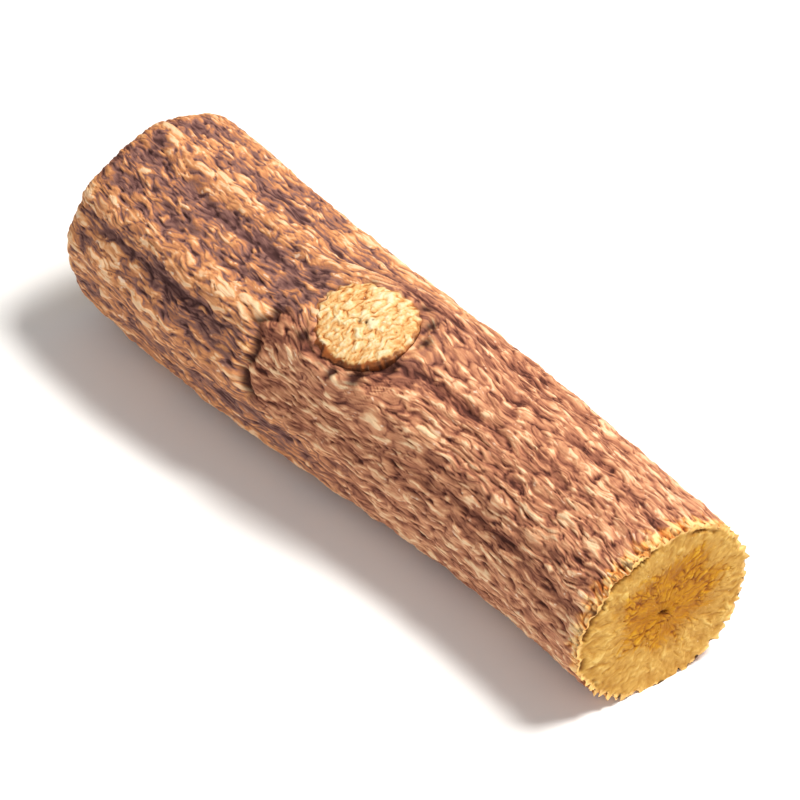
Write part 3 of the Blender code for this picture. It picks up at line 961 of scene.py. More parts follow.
@dataclass(frozen=True)
class CutWoodFinish:
    """Rough saw-cut wood: pale yellow outside, golden at the heart, with fine rays.

    Attributes:
        roughness: how dull it is.
        bump: how strong its finest relief is.
        gloss: how much it mirrors.
        outer: the outer wood's colours, from its grooves to its crumbs.
        heart: the same for the heart.
        rim: the colour of the bright rim.
        speck: the colour of its pale specks.
        slit: the painted shade in the slits and in the gaps between the rim's teeth, and the pith's
            own dark colour.
    """

    roughness: float = 0.72
    bump: float = 0.30
    gloss: float = 0.25
    outer: Stops = (
        (0.0, linear(138, 84, 18)),
        (0.35, linear(182, 130, 48)),
        (0.65, linear(206, 159, 76)),
        (1.0, linear(240, 208, 126)),
    )
    heart: Stops = (
        (0.0, linear(132, 68, 2)),
        (0.4, linear(170, 106, 4)),
        (0.7, linear(195, 135, 12)),
        (1.0, linear(226, 173, 46)),
    )
    rim: Colour = linear(255, 206, 128)
    speck: Colour = linear(252, 236, 184)
    slit: Colour = linear(104, 48, 10)

    def build(self, effects: SharedEffects) -> bpy.types.Material:
        """The material.

        Args:
            effects: the shared effects that it uses.

        Returns:
            The material, for a mesh that keeps tone, heart, edge, dark, ray and grain.
        """
        graph, shader, made = start_material("licorice cut wood", self.roughness)
        ray, grain = graph.attribute("ray", vector=True), graph.attribute("grain", vector=True)
        rays = effects.use(graph, GroupName.FIBRES, ray, Fineness=1.6, Length=2.5, Curl=1.0)
        crumbs = graph.noise(grain, 2.6, 3.0, 0.6)
        drift = effects.use(graph, GroupName.DRIFT, grain, Fineness=0.25, Strength=0.12)
        specks = effects.use(graph, GroupName.SPECKS, grain, Fineness=3.4, Amount=0.25)

        tone = graph.add(graph.attribute("tone"), graph.times(rays, 0.14))
        tone = graph.add(tone, graph.times(graph.less(crumbs, 0.5), 0.3))
        tone = graph.add(tone, drift, clamp=True)
        outer, heart = graph.ramp(tone, self.outer), graph.ramp(tone, self.heart)
        colour = graph.mix(graph.attribute("heart"), outer, heart)
        colour = graph.mix(graph.attribute("edge"), colour, self.rim)
        colour = graph.mix(graph.times(specks, 0.5), colour, self.speck)
        # The pith's own dark colour, and painted shade in the rim's slits and gaps.
        colour = graph.mix(graph.attribute("dark"), colour, self.slit)
        graph.feed(shader.inputs["Base Color"], colour)
        shader.inputs["Specular IOR Level"].default_value = self.gloss
        height = graph.add(graph.times(rays, 0.4), crumbs)
        graph.relief(shader, height, self.bump, 0.3 * MM)
        return made


@dataclass(frozen=True)
class ScarWoodFinish:
    """The torn wood of the cut branch: cream and lumpy, with an orange-brown outline.

    Attributes:
        roughness: how dull it is.
        bump: how strong its finest relief is.
        gloss: how much it mirrors.
        tones: its colours, from its lines to its lumps.
        outline: the colour of its torn edge.
        speck: the colour of its pale specks.
        hole: the colour in its small holes, and the painted shade under its edge.
    """

    roughness: float = 0.75
    bump: float = 0.5
    gloss: float = 0.3
    tones: Stops = (
        (0.0, linear(146, 78, 30)),
        (0.28, linear(208, 138, 72)),
        (0.6, linear(232, 188, 124)),
        (1.0, linear(242, 222, 180)),
    )
    outline: Colour = linear(166, 90, 38)
    speck: Colour = linear(250, 234, 198)
    hole: Colour = linear(70, 34, 14)

    def build(self, effects: SharedEffects) -> bpy.types.Material:
        """The material.

        Args:
            effects: the shared effects that it uses.

        Returns:
            The material, for a mesh that keeps tone, edge, dark and grain.
        """
        graph, shader, made = start_material("licorice scar wood", self.roughness)
        grain = graph.attribute("grain", vector=True)
        lumps = graph.noise(grain, 1.9, 3.0, 0.6)
        fibres = effects.use(graph, GroupName.FIBRES, grain, Fineness=2.4, Length=1.6, Curl=1.2)
        specks = effects.use(graph, GroupName.SPECKS, grain, Fineness=3.0, Amount=0.4)

        tone = graph.add(graph.attribute("tone"), graph.less(lumps, 0.5))
        tone = graph.add(tone, graph.times(fibres, 0.5), clamp=True)
        colour = graph.mix(graph.attribute("edge"), graph.ramp(tone, self.tones), self.outline)
        colour = graph.mix(graph.times(specks, 0.6), colour, self.speck)
        # The holes' own dark colour, and painted shade under the edge.
        colour = graph.mix(graph.attribute("dark"), colour, self.hole)
        graph.feed(shader.inputs["Base Color"], colour)
        shader.inputs["Specular IOR Level"].default_value = self.gloss
        height = graph.add(lumps, graph.times(fibres, 0.6))
        graph.relief(shader, height, self.bump, 0.3 * MM)
        return made


@dataclass(frozen=True)
class FloorFinish:
    """A plain pale floor with a faint unevenness between two near whites."""

    pale: Colour = linear(252, 251, 249)
    duller: Colour = linear(246, 245, 243)

    def build(self) -> bpy.types.Material:
        """The material."""
        graph, shader, made = start_material("pale floor", 0.9)
        place = graph.node("ShaderNodeTexCoord", {}).outputs["Object"]
        cloud = graph.spread(graph.noise(place, 6.0), 0.3, 0.7, 0.0, 0.3)
        colour = graph.mix(cloud, self.pale, self.duller)
        graph.feed(shader.inputs["Base Color"], colour)
        return made


# The pieces


@dataclass(frozen=True)
class Grain:
    """Places in the bark's own grain, in mm, and the girth on which its patterns close."""

    along: np.ndarray
    around: np.ndarray
    girth: float

    def cells(self, length: float, width: float) -> tuple[np.ndarray, np.ndarray, int]:
        """The same places, counted in cells of about that length and width in mm."""
        count = round(self.girth / width)
        return self.along / length, self.around / self.girth * count, count

    def wrapped(self) -> np.ndarray:
        """The places in space, with the bark rolled into a tube, so that no join shows."""
        radius, turn = self.girth / FULL_TURN, self.around / self.girth * FULL_TURN
        return np.stack([self.along, radius * np.cos(turn), radius * np.sin(turn)], axis=-1)


@dataclass
class Skin:
    """The bark at each place: its radius, and how it looks there."""

    radius: np.ndarray
    tone: np.ndarray
    age: np.ndarray
    torn: np.ndarray
    dark: np.ndarray
    grain: Grain

    def values(self) -> dict[str, np.ndarray]:
        """What the finish reads at each point."""
        return {
            "tone": self.tone,
            "age": self.age,
            "torn": np.clip(self.torn, 0.0, 1.0),
            "dark": np.clip(self.dark, 0.0, 1.0),
            "grain": self.grain.wrapped(),
        }


@dataclass(frozen=True)
class Bark:
    """The whole bark, drawn finely enough to show its strokes, its crack and its torn rims.

    It is made in two lengths that meet in one ring of points, the seam.

    Attributes:
        form: the root's main form.
        columns: how many points each ring has.
        rows: how many rings each length has.
        rim_rings: how far in from each cut its closest rings stand, in mm.
        rim_depth: how far in from each cut the evenly spaced rings begin.
        seam: where the two lengths meet.
        girth: the bark's girth in mm, by which its patterns are sized.
        under_share: how close together the points stand underneath, against those above.
        end_share: how far each length's closed ends are drawn in, as a share of the radius.
        end_depth: how far those ends are sunk in.
        stroke_relief: the relief of the bark's strokes in mm.
        valley_depth: how deep the thin valleys between them are, in mm.
        crack_raggedness: how far the crack's line strays along X.
        cleft_depth: how deep the crack's dark cleft is.
        curl_angle: the angle of the flake that curls at the crack's upper end.
        curl_width: half that flake's width, as an angle.
        lip_rise: how high the bark's lifted lip stands round the scar.
        pit_depth: how deep the pits round the scar are.
        hidden_drop: how far the bark is lowered under the scar's own piece.
        slit_depth: how deep the slits in the torn rims are.
        fringe_angle: the angle at which the fringe of torn fibres is widest.
        rear_fray: how fresh the worn rear rim is, against the front one.
    """

    form: RootForm
    columns: int = 440
    rows: int = 222
    rim_rings: tuple[float, ...] = (0.0, 0.10, 0.20, 0.32, 0.45)
    rim_depth: float = 0.6 * MM
    seam: float = -1.0 * MM
    girth: float = 60.3
    under_share: float = 0.5
    end_share: float = 0.05
    end_depth: float = 0.6 * MM
    stroke_relief: float = 0.145
    valley_depth: float = 0.12
    crack_raggedness: float = 0.5 * MM
    cleft_depth: float = 0.18 * MM
    curl_angle: float = np.radians(131.0)
    curl_width: float = np.radians(3.6)
    lip_rise: float = 0.36 * MM
    pit_depth: float = 0.30 * MM
    hidden_drop: float = 0.7 * MM
    slit_depth: float = 0.12 * MM
    fringe_angle: float = np.radians(120.0)
    rear_fray: float = 0.25

    def angles(self) -> np.ndarray:
        """The angle of each column, closer together on the sides that show."""
        fine = np.linspace(0.0, FULL_TURN, 2001)
        under = 0.5 - 0.5 * np.sin(fine)
        density = 1.0 - (1.0 - self.under_share) * smooth_step(0.70, 0.98, under)
        count = np.concatenate([[0.0], np.cumsum((density[1:] + density[:-1]) / 2)])
        return np.interp(np.linspace(0.0, count[-1], self.columns + 1)[:-1], count, fine)

    def places(self) -> np.ndarray:
        """Where the rings of points stand along the stick, the seam's ring among them."""
        half = self.form.length / 2
        steps = np.array(self.rim_rings) * MM
        rear = np.linspace(-half + self.rim_depth, self.seam, self.rows - len(steps))
        front = np.linspace(self.seam, half - self.rim_depth, self.rows - len(steps))
        return np.concatenate([-half + steps, rear, front[1:], (half - steps)[::-1]])

    def pattern_place(self, x: np.ndarray, angle: np.ndarray) -> Grain:
        """The place in the bark's own grain, which flows round the scar.

        Args:
            x: places along the stick.
            angle: their angles round it.

        Returns:
            How far along the grain each place is, and how far round it.
        """
        along, across = self.form.scar_place(x, angle)
        size = np.maximum(np.hypot(along, across), 1.0)
        push = 0.5 / size**2 * soft_peak(size, 3.2)
        edge = np.arcsin(self.form.scar_half_width / self.form.plain_radius(x))
        bent = angle - across * push * edge
        u, v = x / MM, bent / FULL_TURN * self.girth
        wriggle = 0.13 * soft_noise(u / 1.25, v / self.girth * 52, 52, 5)
        wriggle += 0.34 * soft_noise(u / 3.3, v / self.girth * 30, 30, 8)
        wriggle += 0.5 * soft_noise(u / 11.0, v / self.girth * 9, 9, 6)
        slide = 0.50 * soft_noise(u / 1.9 + 30.0, v / self.girth * 66, 66, 7)
        return Grain(u + slide, v + wriggle, self.girth)

    def age(self, x: np.ndarray, angle: np.ndarray, ragged: np.ndarray) -> np.ndarray:
        """1 on the older bark towards the rear, and 0 on the finer bark in front."""
        v = angle / FULL_TURN * 12
        edge = 1.0 * MM + 6.0 * MM * soft_noise(x / (14 * MM), v, 12, 71)
        general = 1.0 - smooth_step(-11 * MM, 9 * MM, x - edge)
        first, last = np.radians(self.form.old_layer_arc)
        middle, half = (first + last) / 2, (last - first) / 2
        inside = 1.0 - smooth_step(0.75 * half, half, np.abs(turn_between(angle, middle)))
        sharp = 1.0 - smooth_step(-0.3 * MM, 0.3 * MM, x - ragged - self.form.old_edge(angle))
        return general * (1.0 - inside) + sharp * inside

    def surface(self, x: np.ndarray, angle: np.ndarray) -> Skin:
        """The bark's radius, and what its finish needs to know, at each place.

        Args:
            x: places along the stick.
            angle: their angles round it.

        Returns:
            The bark there.
        """
        form = self.form
        grain = self.pattern_place(x, angle)
        ragged = layered_noise(angle * 14.0, grain.along / 9.0 + 40.0, 400, 90, 2)
        ragged *= self.crack_raggedness
        age = self.age(x, angle, ragged)
        height, tone, patch = self._strokes(grain, age)

        swelling = form.collar_rise(x, angle) / form.scar_rise
        height *= 1.0 - 0.25 * np.clip(swelling, 0.0, 1.0)
        ridges = form.ridge_height(x, angle) / (0.5 * MM) - 0.38
        grooved = form.groove_depth(x, angle, sharpen=1.5) / (0.4 * MM)
        wrinkles = form.wrinkle_height(x, angle) / form.fine_relief
        tone += (0.04 + 0.22 * age) * ridges - 0.37 * grooved + 0.10 * wrinkles

        radius = form.main_radius(x, angle, ragged) + height * MM
        skin = Skin(radius, 0.50 + tone, age, np.zeros_like(x), np.zeros_like(x), grain)
        self._scar_edge(skin, x, angle)
        self._crack(skin, x, angle, ragged, patch)
        for outward, strength in ((-1.0, self.rear_fray), (1.0, 1.0)):
            self._torn_rim(skin, x, angle, outward, strength)
        skin.tone += 0.16 * skin.torn
        return skin

    def _strokes(
        self, grain: Grain, age: np.ndarray
    ) -> tuple[np.ndarray, np.ndarray, np.ndarray]:
        """The bark's strokes: rounded ones of three sizes, with thin valleys between.

        Args:
            grain: the places in the bark's grain.
            age: how old the bark is at each.

        Returns:
            Their height in mm, their tone, and the patches of lighter and darker bark.
        """
        large = pillows(*grain.cells(3.3, 0.84), 37)
        middling = pillows(*grain.cells(2.2, 0.47), 41)
        small = pillows(*grain.cells(1.1, 0.26), 45)
        flakes = 0.40 * large + 0.42 * middling + 0.34 * small
        first_pick = layered_noise(*grain.cells(1.9, 0.58), seed=61, layers=2)
        second_pick = layered_noise(*grain.cells(1.6, 0.48), seed=67, layers=2)
        valleys = soft_peak(large, 0.30) * smooth_step(0.0, 0.45, first_pick)
        valleys += 0.9 * soft_peak(middling, 0.28) * smooth_step(0.05, 0.5, second_pick)
        patch = layered_noise(*grain.cells(3.4, 0.85), seed=43, layers=3)
        broad = layered_noise(*grain.cells(8.0, 2.0), seed=47, layers=2)
        bands = layered_noise(*grain.cells(15.0, 1.5), seed=53, layers=2)
        pale = smooth_step(0.15, 0.5, soft_noise(*grain.cells(1.9, 0.38), seed=71) + 0.30 * patch)
        pale *= smooth_step(0.2, 0.6, flakes)
        height = self.stroke_relief * (flakes - 0.35) - self.valley_depth * valleys
        height += 0.06 * broad + 0.05 * patch + (0.03 + 0.04 * age) * bands + 0.03 * pale
        tone = 0.29 * (flakes - 0.40) - 0.44 * valleys + 0.30 * pale
        tone += 0.20 * patch + 0.12 * broad + (0.13 + 0.17 * age) * bands
        return height, tone, patch

    def _scar_edge(self, skin: Skin, x: np.ndarray, angle: np.ndarray) -> None:
        """Adds the moat, the lifted lip of bark and the pits round the branch scar, with painted
        shadow in the moat, darkest below the scar, and painted shade in the pits.

        Args:
            skin: the bark, which is changed.
            x: places along the stick.
            angle: their angles round it.
        """
        along, across = self.form.scar_place(x, angle)
        size = np.hypot(along, across)
        below = smooth_step(-0.3, 0.7, across / np.maximum(size, 0.01))
        broken = 0.55 + 0.9 * soft_noise(*skin.grain.cells(1.3, 1.3), seed=83)
        moat = soft_peak(size - 1.04, 0.040) * np.clip(broken, 0.0, 1.0)
        lifted = soft_peak(size - 1.15, 0.08) * (0.4 + 0.6 * below) * np.clip(broken, 0.3, 1.0)
        pit = np.zeros_like(x)
        for place, turned, width in self.form.pits:
            aside = turn_between(angle, np.radians(turned)) * self.form.front_radius
            pit += soft_peak(np.hypot(x - place * MM, aside), 1.2 * width * MM)
        # Painted shadow in the moat, darkest on its lower side, and painted shade in the pits.
        skin.dark += 0.80 * moat * (0.25 + 0.75 * below) + 1.1 * pit
        skin.radius += self.lip_rise * lifted - (0.08 + 0.14 * below) * MM * moat
        skin.radius -= self.pit_depth * pit
        skin.radius -= self.hidden_drop * (1.0 - smooth_step(0.72, 0.94, size))

    def _crack(
        self,
        skin: Skin,
        x: np.ndarray,
        angle: np.ndarray,
        ragged: np.ndarray,
        patch: np.ndarray,
    ) -> None:
        """Adds the cleft of the crack with painted shade down in it, its torn lip behind it and the
        darker bark in front.

        Args:
            skin: the bark, which is changed.
            x: places along the stick.
            angle: their angles round it.
            ragged: how far the crack is moved along X at each place.
            patch: the patches of lighter and darker bark.
        """
        form = self.form
        distance, _ = form.run_distance(form.crack, x - ragged, angle)
        cleft = soft_peak(distance, 0.42 * MM)
        cleft *= np.clip(0.85 + 1.3 * soft_noise(*skin.grain.cells(2.2, 1.1), seed=89), 0.0, 1.0)
        # Painted shade down in the crack's cleft.
        skin.dark += 0.95 * cleft
        skin.radius -= self.cleft_depth * cleft
        behind = x - ragged < form.old_edge(angle)
        lip = soft_peak(distance - 0.75 * MM, 0.40 * MM) * behind
        tip = soft_peak(turn_between(angle, self.curl_angle), self.curl_width)
        ahead = soft_peak(distance, 2.2 * MM) * (1.0 - behind)
        skin.torn += lip * (0.20 * tip + 0.35 * smooth_step(0.0, 0.4, patch))
        skin.tone += lip * (0.06 - 0.14 * tip) - 0.13 * ahead

    def _torn_rim(
        self, skin: Skin, x: np.ndarray, angle: np.ndarray, outward: float, strength: float
    ) -> None:
        """Adds the fringe of torn fibres round one saw cut, with slits between its flakes, and
        painted shade in the slits and in the open notches, stronger on the lower side.

        Args:
            skin: the bark, which is changed.
            x: places along the stick.
            angle: their angles round it.
            outward: 1 at the front cut and -1 at the rear one.
            strength: how fresh the fringe is, from 0 to 1.
        """
        form, grain = self.form, skin.grain
        inset = form.length / 2 - outward * x
        lean, _ = form.tooth(angle, outward)
        turns = grain.around / self.girth
        fray = 0.5 + 0.5 * soft_noise(turns * 110.0, inset / (1.4 * MM), NEVER, 61)
        upper = 0.5 + 0.5 * np.cos(angle - self.fringe_angle)
        reach = (0.35 + (1.0 + 2.2 * upper) * fray) * MM
        fringe = 1.0 - smooth_step(0.5, 1.0, inset / reach)
        strips = pillows(grain.along / 1.5, turns * 78.0 + 0.35 * grain.along, NEVER, 63)
        slit = soft_peak(strips, 0.20) * fringe * strength
        notch = np.clip(-lean / form.tooth_depth, 0.0, 1.0)
        open_notch = notch * (1.0 - smooth_step(0.0, 0.9 * MM, inset)) * fray
        skin.radius += lean * (1.0 - smooth_step(0.0, form.torn_width, inset))
        skin.radius -= self.slit_depth * slit
        skin.torn += strength * (1.0 - smooth_step(0.45, 1.0, inset / reach))
        # Painted shade in the slits and the open notches, stronger on the lower side of the stick.
        skin.dark += 0.75 * slit + strength * (0.9 - 0.4 * upper) * open_notch
        skin.tone += 0.40 * (strips - 0.40) * fringe * strength

    def build(self, finish: bpy.types.Material) -> list[bpy.types.Object]:
        """The bark's two lengths, each closed at both of its ends.

        Args:
            finish: their material.

        Returns:
            The pieces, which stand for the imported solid.
        """
        form = self.form
        places = self.places()
        x, angle = np.meshgrid(places, self.angles(), indexing="ij")
        skin = self.surface(x, angle)
        values = skin.values()
        points = form.place(x, angle, skin.radius)
        for outward in (-1.0, 1.0):
            inset = form.length / 2 - outward * x
            _, stretch = form.tooth(angle, outward)
            points[..., 0] += outward * stretch * (1.0 - smooth_step(0.0, form.torn_width, inset))
        around = np.roll(points, -1, axis=1) - np.roll(points, 1, axis=1)
        normals = np.cross(around, np.gradient(points, axis=0))
        normals /= np.linalg.norm(normals, axis=-1, keepdims=True)
        spans = {"old_bark": slice(0, self.rows), "young_bark": slice(self.rows - 1, len(places))}
        return [
            self._length(name, span, points, normals, values, finish)
            for name, span in spans.items()
        ]

    def _length(
        self,
        name: str,
        span: slice,
        points: np.ndarray,
        normals: np.ndarray,
        values: dict[str, np.ndarray],
        finish: bpy.types.Material,
    ) -> bpy.types.Object:
        """One length of the bark, closed at its ends.

        Args:
            name: the piece's name.
            span: the rings that it takes.
            points: the whole bark's points, ring by ring.
            normals: the direction that the bark faces at each of them.
            values: what the finish needs to know at each of them.
            finish: its material.

        Returns:
            The piece.
        """
        own, own_normals = points[span], normals[span]
        rows, row_normals = [own], [own_normals]
        for end, inward in ((0, 1.0), (-1, -1.0)):
            centre = own[end].mean(axis=0)
            inner = centre + (own[end] - centre) * (1.0 - self.end_share)
            inner[:, 0] += inward * self.end_depth
            rows.insert(0 if end == 0 else len(rows), inner[None])
            facing = np.zeros((1, self.columns, 3))
            facing[..., 0] = -inward
            row_normals.insert(0 if end == 0 else len(row_normals), facing)
        every_row, every_normal = np.concatenate(rows), np.concatenate(row_normals)
        rings = len(every_row)
        count = rings * self.columns
        tips = [every_row[0].mean(axis=0), every_row[-1].mean(axis=0)]
        faces = grid_faces(rings, self.columns).tolist()
        faces += fan_faces(0, self.columns, count, flip=True)
        faces += fan_faces((rings - 1) * self.columns, self.columns, count + 1)
        facing = np.vstack([every_normal.reshape(-1, 3), [[-1.0, 0.0, 0.0], [1.0, 0.0, 0.0]]])
        kept = {}
        for label, numbers in values.items():
            padded = np.concatenate([numbers[span][:1], numbers[span], numbers[span][-1:]])
            flat = padded.reshape(count, *numbers.shape[2:])
            kept[label] = np.concatenate([flat, flat[[0, -1]]])
        every_point = np.vstack([every_row.reshape(-1, 3), tips])
        piece = new_piece(name, every_point, faces, kept, finish, normals=facing)
        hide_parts(CAD_NODE)
        return piece


@dataclass(frozen=True)
class FacePattern:
    """The patterns of one cut face at each of its points."""

    dashes: np.ndarray
    wide_dashes: np.ndarray
    lines: np.ndarray
    crumbs: np.ndarray
    lumps: np.ndarray
    heart: np.ndarray
    pith: np.ndarray
    grain: np.ndarray


@dataclass(frozen=True)
class CutFace:
    """One saw-cut end: a thin disc whose face shows rays, a golden heart and the pith.

    Attributes:
        form: the root's main form.
        name: the piece's name.
        outward: 1 at the front cut and -1 at the rear one.
        seed: picks the face's own pattern.
        columns: how many points each ring has.
        rings: how many rings there are.
        heart_size: the golden heart's radius, as a share of the face's.
        heart_shift: how far the heart lies off the middle, across and up, as such shares.
        slit_angle: the angle round which the slits in the rim lie.
        thickness: how far the disc's back lies behind its rim.
        freshness: how clean and bright the cut is, from 0 to 1.
        wood_radius: the face's radius in mm, by which its patterns are sized.
    """

    form: RootForm
    name: str
    outward: float
    seed: int
    columns: int = 448
    rings: int = 72
    heart_size: float = 0.52
    heart_shift: tuple[float, float] = (0.06, 0.10)
    slit_angle: float = np.radians(130.0)
    thickness: float = 0.5 * MM
    freshness: float = 1.0
    wood_radius: float = 8.9

    def build(self, bark: Bark, finish: bpy.types.Material) -> bpy.types.Object:
        """The disc.

        Args:
            bark: the bark that it meets at its rim.
            finish: its material.

        Returns:
            The piece.
        """
        form = self.form
        end_x = self.outward * form.length / 2
        angle = np.linspace(0.0, FULL_TURN, self.columns, endpoint=False)
        lean, reach = form.tooth(angle, self.outward)
        plain = bark.surface(np.full_like(angle, end_x), angle).radius - lean
        share = 1.0 - np.linspace(0.0, 1.0, self.rings) ** 1.15 * 0.985
        s, a = np.meshgrid(share, angle, indexing="ij")
        pattern = self._pattern(s, a)
        slits, gaps = self._openings(s, a, lean)

        height = 0.04 * pattern.dashes * smooth_step(0.15, 0.5, s) + 0.06 * pattern.wide_dashes
        height += 0.03 * pattern.crumbs + 0.09 * pattern.lumps - 0.09 * pattern.lines
        height -= 0.10 * pattern.heart + 0.30 * pattern.pith
        height *= 1.0 - 0.8 * smooth_step(0.90, 1.0, s)
        height -= 0.40 * slits + 0.25 * gaps
        edge_share = smooth_step(0.955, 1.0, s)
        scallop = pillows(a / FULL_TURN * 74, a * 0.0 + 0.37, 74, self.seed + 6) - 0.5
        bulge = (0.04 + (0.10 + 0.14 * smooth_step(0.1, 0.8, -np.sin(a))) * scallop) * MM
        radius = s * plain[None, :] + edge_share * (lean[None, :] + bulge)
        points = form.place(np.full_like(s, end_x), a, radius)
        points[..., 0] += self.outward * (height * MM + edge_share * reach[None, :])
        back = form.place(np.full_like(angle, end_x), angle, 0.94 * plain)
        back[:, 0] -= self.outward * self.thickness
        tips = [points[-1].mean(axis=0), back.mean(axis=0)]

        spread = smooth_step(0.10, 0.45, s)
        tone = 0.58 + (0.20 * pattern.dashes + 0.26 * pattern.wide_dashes) * spread
        tone += 0.15 * pattern.crumbs + 0.18 * pattern.lumps - 0.46 * pattern.lines
        edge = smooth_step(0.955, 0.985, s) * np.clip(0.80 + 0.5 * pattern.dashes, 0.0, 1.0)
        # The pith's own dark colour, and painted shade in the slits and in the gaps between the
        # teeth.
        dark = 0.9 * pattern.pith + 0.9 * slits + 0.7 * gaps * self.freshness
        values = {
            "tone": tone,
            "heart": pattern.heart,
            "edge": edge * self.freshness,
            "dark": np.clip(dark, 0.0, 1.0),
            "ray": np.stack([s * 9.0, np.cos(a) * 9.0, np.sin(a) * 9.0], axis=-1),
            "grain": pattern.grain,
        }
        kept = {label: self._whole(numbers) for label, numbers in values.items()}
        every_point = np.vstack([points.reshape(-1, 3), back, tips])
        piece = new_piece(self.name, every_point, self._faces(), kept, finish)
        return piece

    def _pattern(self, s: np.ndarray, a: np.ndarray) -> FacePattern:
        """The face's rays, curls and heart.

        Args:
            s: how far out each point is, as a share of the rim's radius.
            a: its angle.

        Returns:
            The patterns.
        """
        size = self.wood_radius
        across, upward = s * np.cos(a), s * np.sin(a)
        flat_u, flat_v = across * size + 60.0, upward * size + 60.0
        bend = 0.50 * soft_noise(flat_u, flat_v, NEVER, self.seed + 7)
        swirl = 0.50 * soft_noise(flat_u, flat_v, NEVER, self.seed + 8)
        spokes = (a / FULL_TURN + bend / (FULL_TURN * size * np.maximum(s, 0.15))) % 1.0
        depth = s * size + swirl
        dashes = soft_noise(depth / 1.1, spokes * 120, 120, self.seed)
        wide_dashes = layered_noise(depth / 2.4, spokes * 46, 46, self.seed + 1, 2)
        crumbs = layered_noise(flat_u / 0.5, flat_v / 0.5, NEVER, self.seed + 2, 3)
        lumps = layered_noise(flat_u / 2.2, flat_v / 2.2, NEVER, self.seed + 3, 2)
        shift_u, shift_v = self.heart_shift
        ripple = 0.12 * soft_noise(a / FULL_TURN * 14, a * 0.0 + 3.5, 14, self.seed + 4)
        ripple += 0.16 * wide_dashes + 0.10 * dashes
        off_heart = np.hypot((across - shift_u) / 1.12, upward - shift_v)
        heart = 1.0 - smooth_step(-0.09, 0.10, off_heart - self.heart_size - ripple)
        curls = pillows((flat_u + bend) / 1.25, (flat_v + swirl) / 1.25, NEVER, self.seed + 5)
        loops = pillows((flat_u + swirl) / 0.85, (flat_v - bend) / 0.85, NEVER, self.seed + 11)
        lines = soft_peak(curls, 0.27) + 0.7 * soft_peak(loops, 0.28)
        lines *= (0.40 + 0.60 * heart) * smooth_step(-0.45, 0.25, lumps)
        pith = soft_peak(np.hypot(across / 1.5 + 0.01 * dashes, upward / 0.7), 0.032)
        grain = np.stack([flat_u, flat_v, np.zeros_like(s)], axis=-1)
        return FacePattern(dashes, wide_dashes, lines, crumbs, lumps, heart, pith, grain)

    def _openings(
        self, s: np.ndarray, a: np.ndarray, lean: np.ndarray
    ) -> tuple[np.ndarray, np.ndarray]:
        """Where the rim is open.

        Args:
            s: how far out each point is, as a share of the rim's radius.
            a: its angle.
            lean: how far the torn fibres lean out at each angle.

        Returns:
            The slits just inside the upper rim, and the gaps between the lower rim's teeth.
        """
        upper = smooth_step(-0.2, 0.6, np.cos(a - self.slit_angle))
        along_rim = soft_noise(a / FULL_TURN * 30, a * 0.0 + 1.5, 30, self.seed + 9)
        wander = soft_noise(a / FULL_TURN * 34, a * 0.0 + 5.5, 34, self.seed + 10)
        slits = soft_peak(s - 0.945 - 0.022 * wander, 0.017)
        slits *= smooth_step(-0.12, 0.12, along_rim) * upper
        gaps = smooth_step(0.45, 0.95, -lean[None, :] / self.form.tooth_depth)
        return slits, gaps * smooth_step(0.945, 0.99, s) * (1.0 - upper)

    def _faces(self) -> list[list[int]]:
        """The disc's faces: its front, its thin side and its back."""
        turned = self.outward < 0
        count = self.rings * self.columns
        faces = grid_faces(self.rings, self.columns, flip=turned).tolist()
        faces += fan_faces(count - self.columns, self.columns, count + self.columns, turned)
        for column in range(self.columns):
            after = (column + 1) % self.columns
            side = [column, count + column, count + after, after]
            faces.append(side[::-1] if turned else side)
        return faces + fan_faces(count, self.columns, count + self.columns + 1, not turned)

    def _whole(self, numbers: np.ndarray) -> np.ndarray:
        """The face's values, with those of its rim carried on to its back."""
        flat = numbers.reshape(-1, *numbers.shape[2:])
        return np.concatenate([flat, numbers[0], [numbers[-1, 0]], [numbers[0, 0]]])


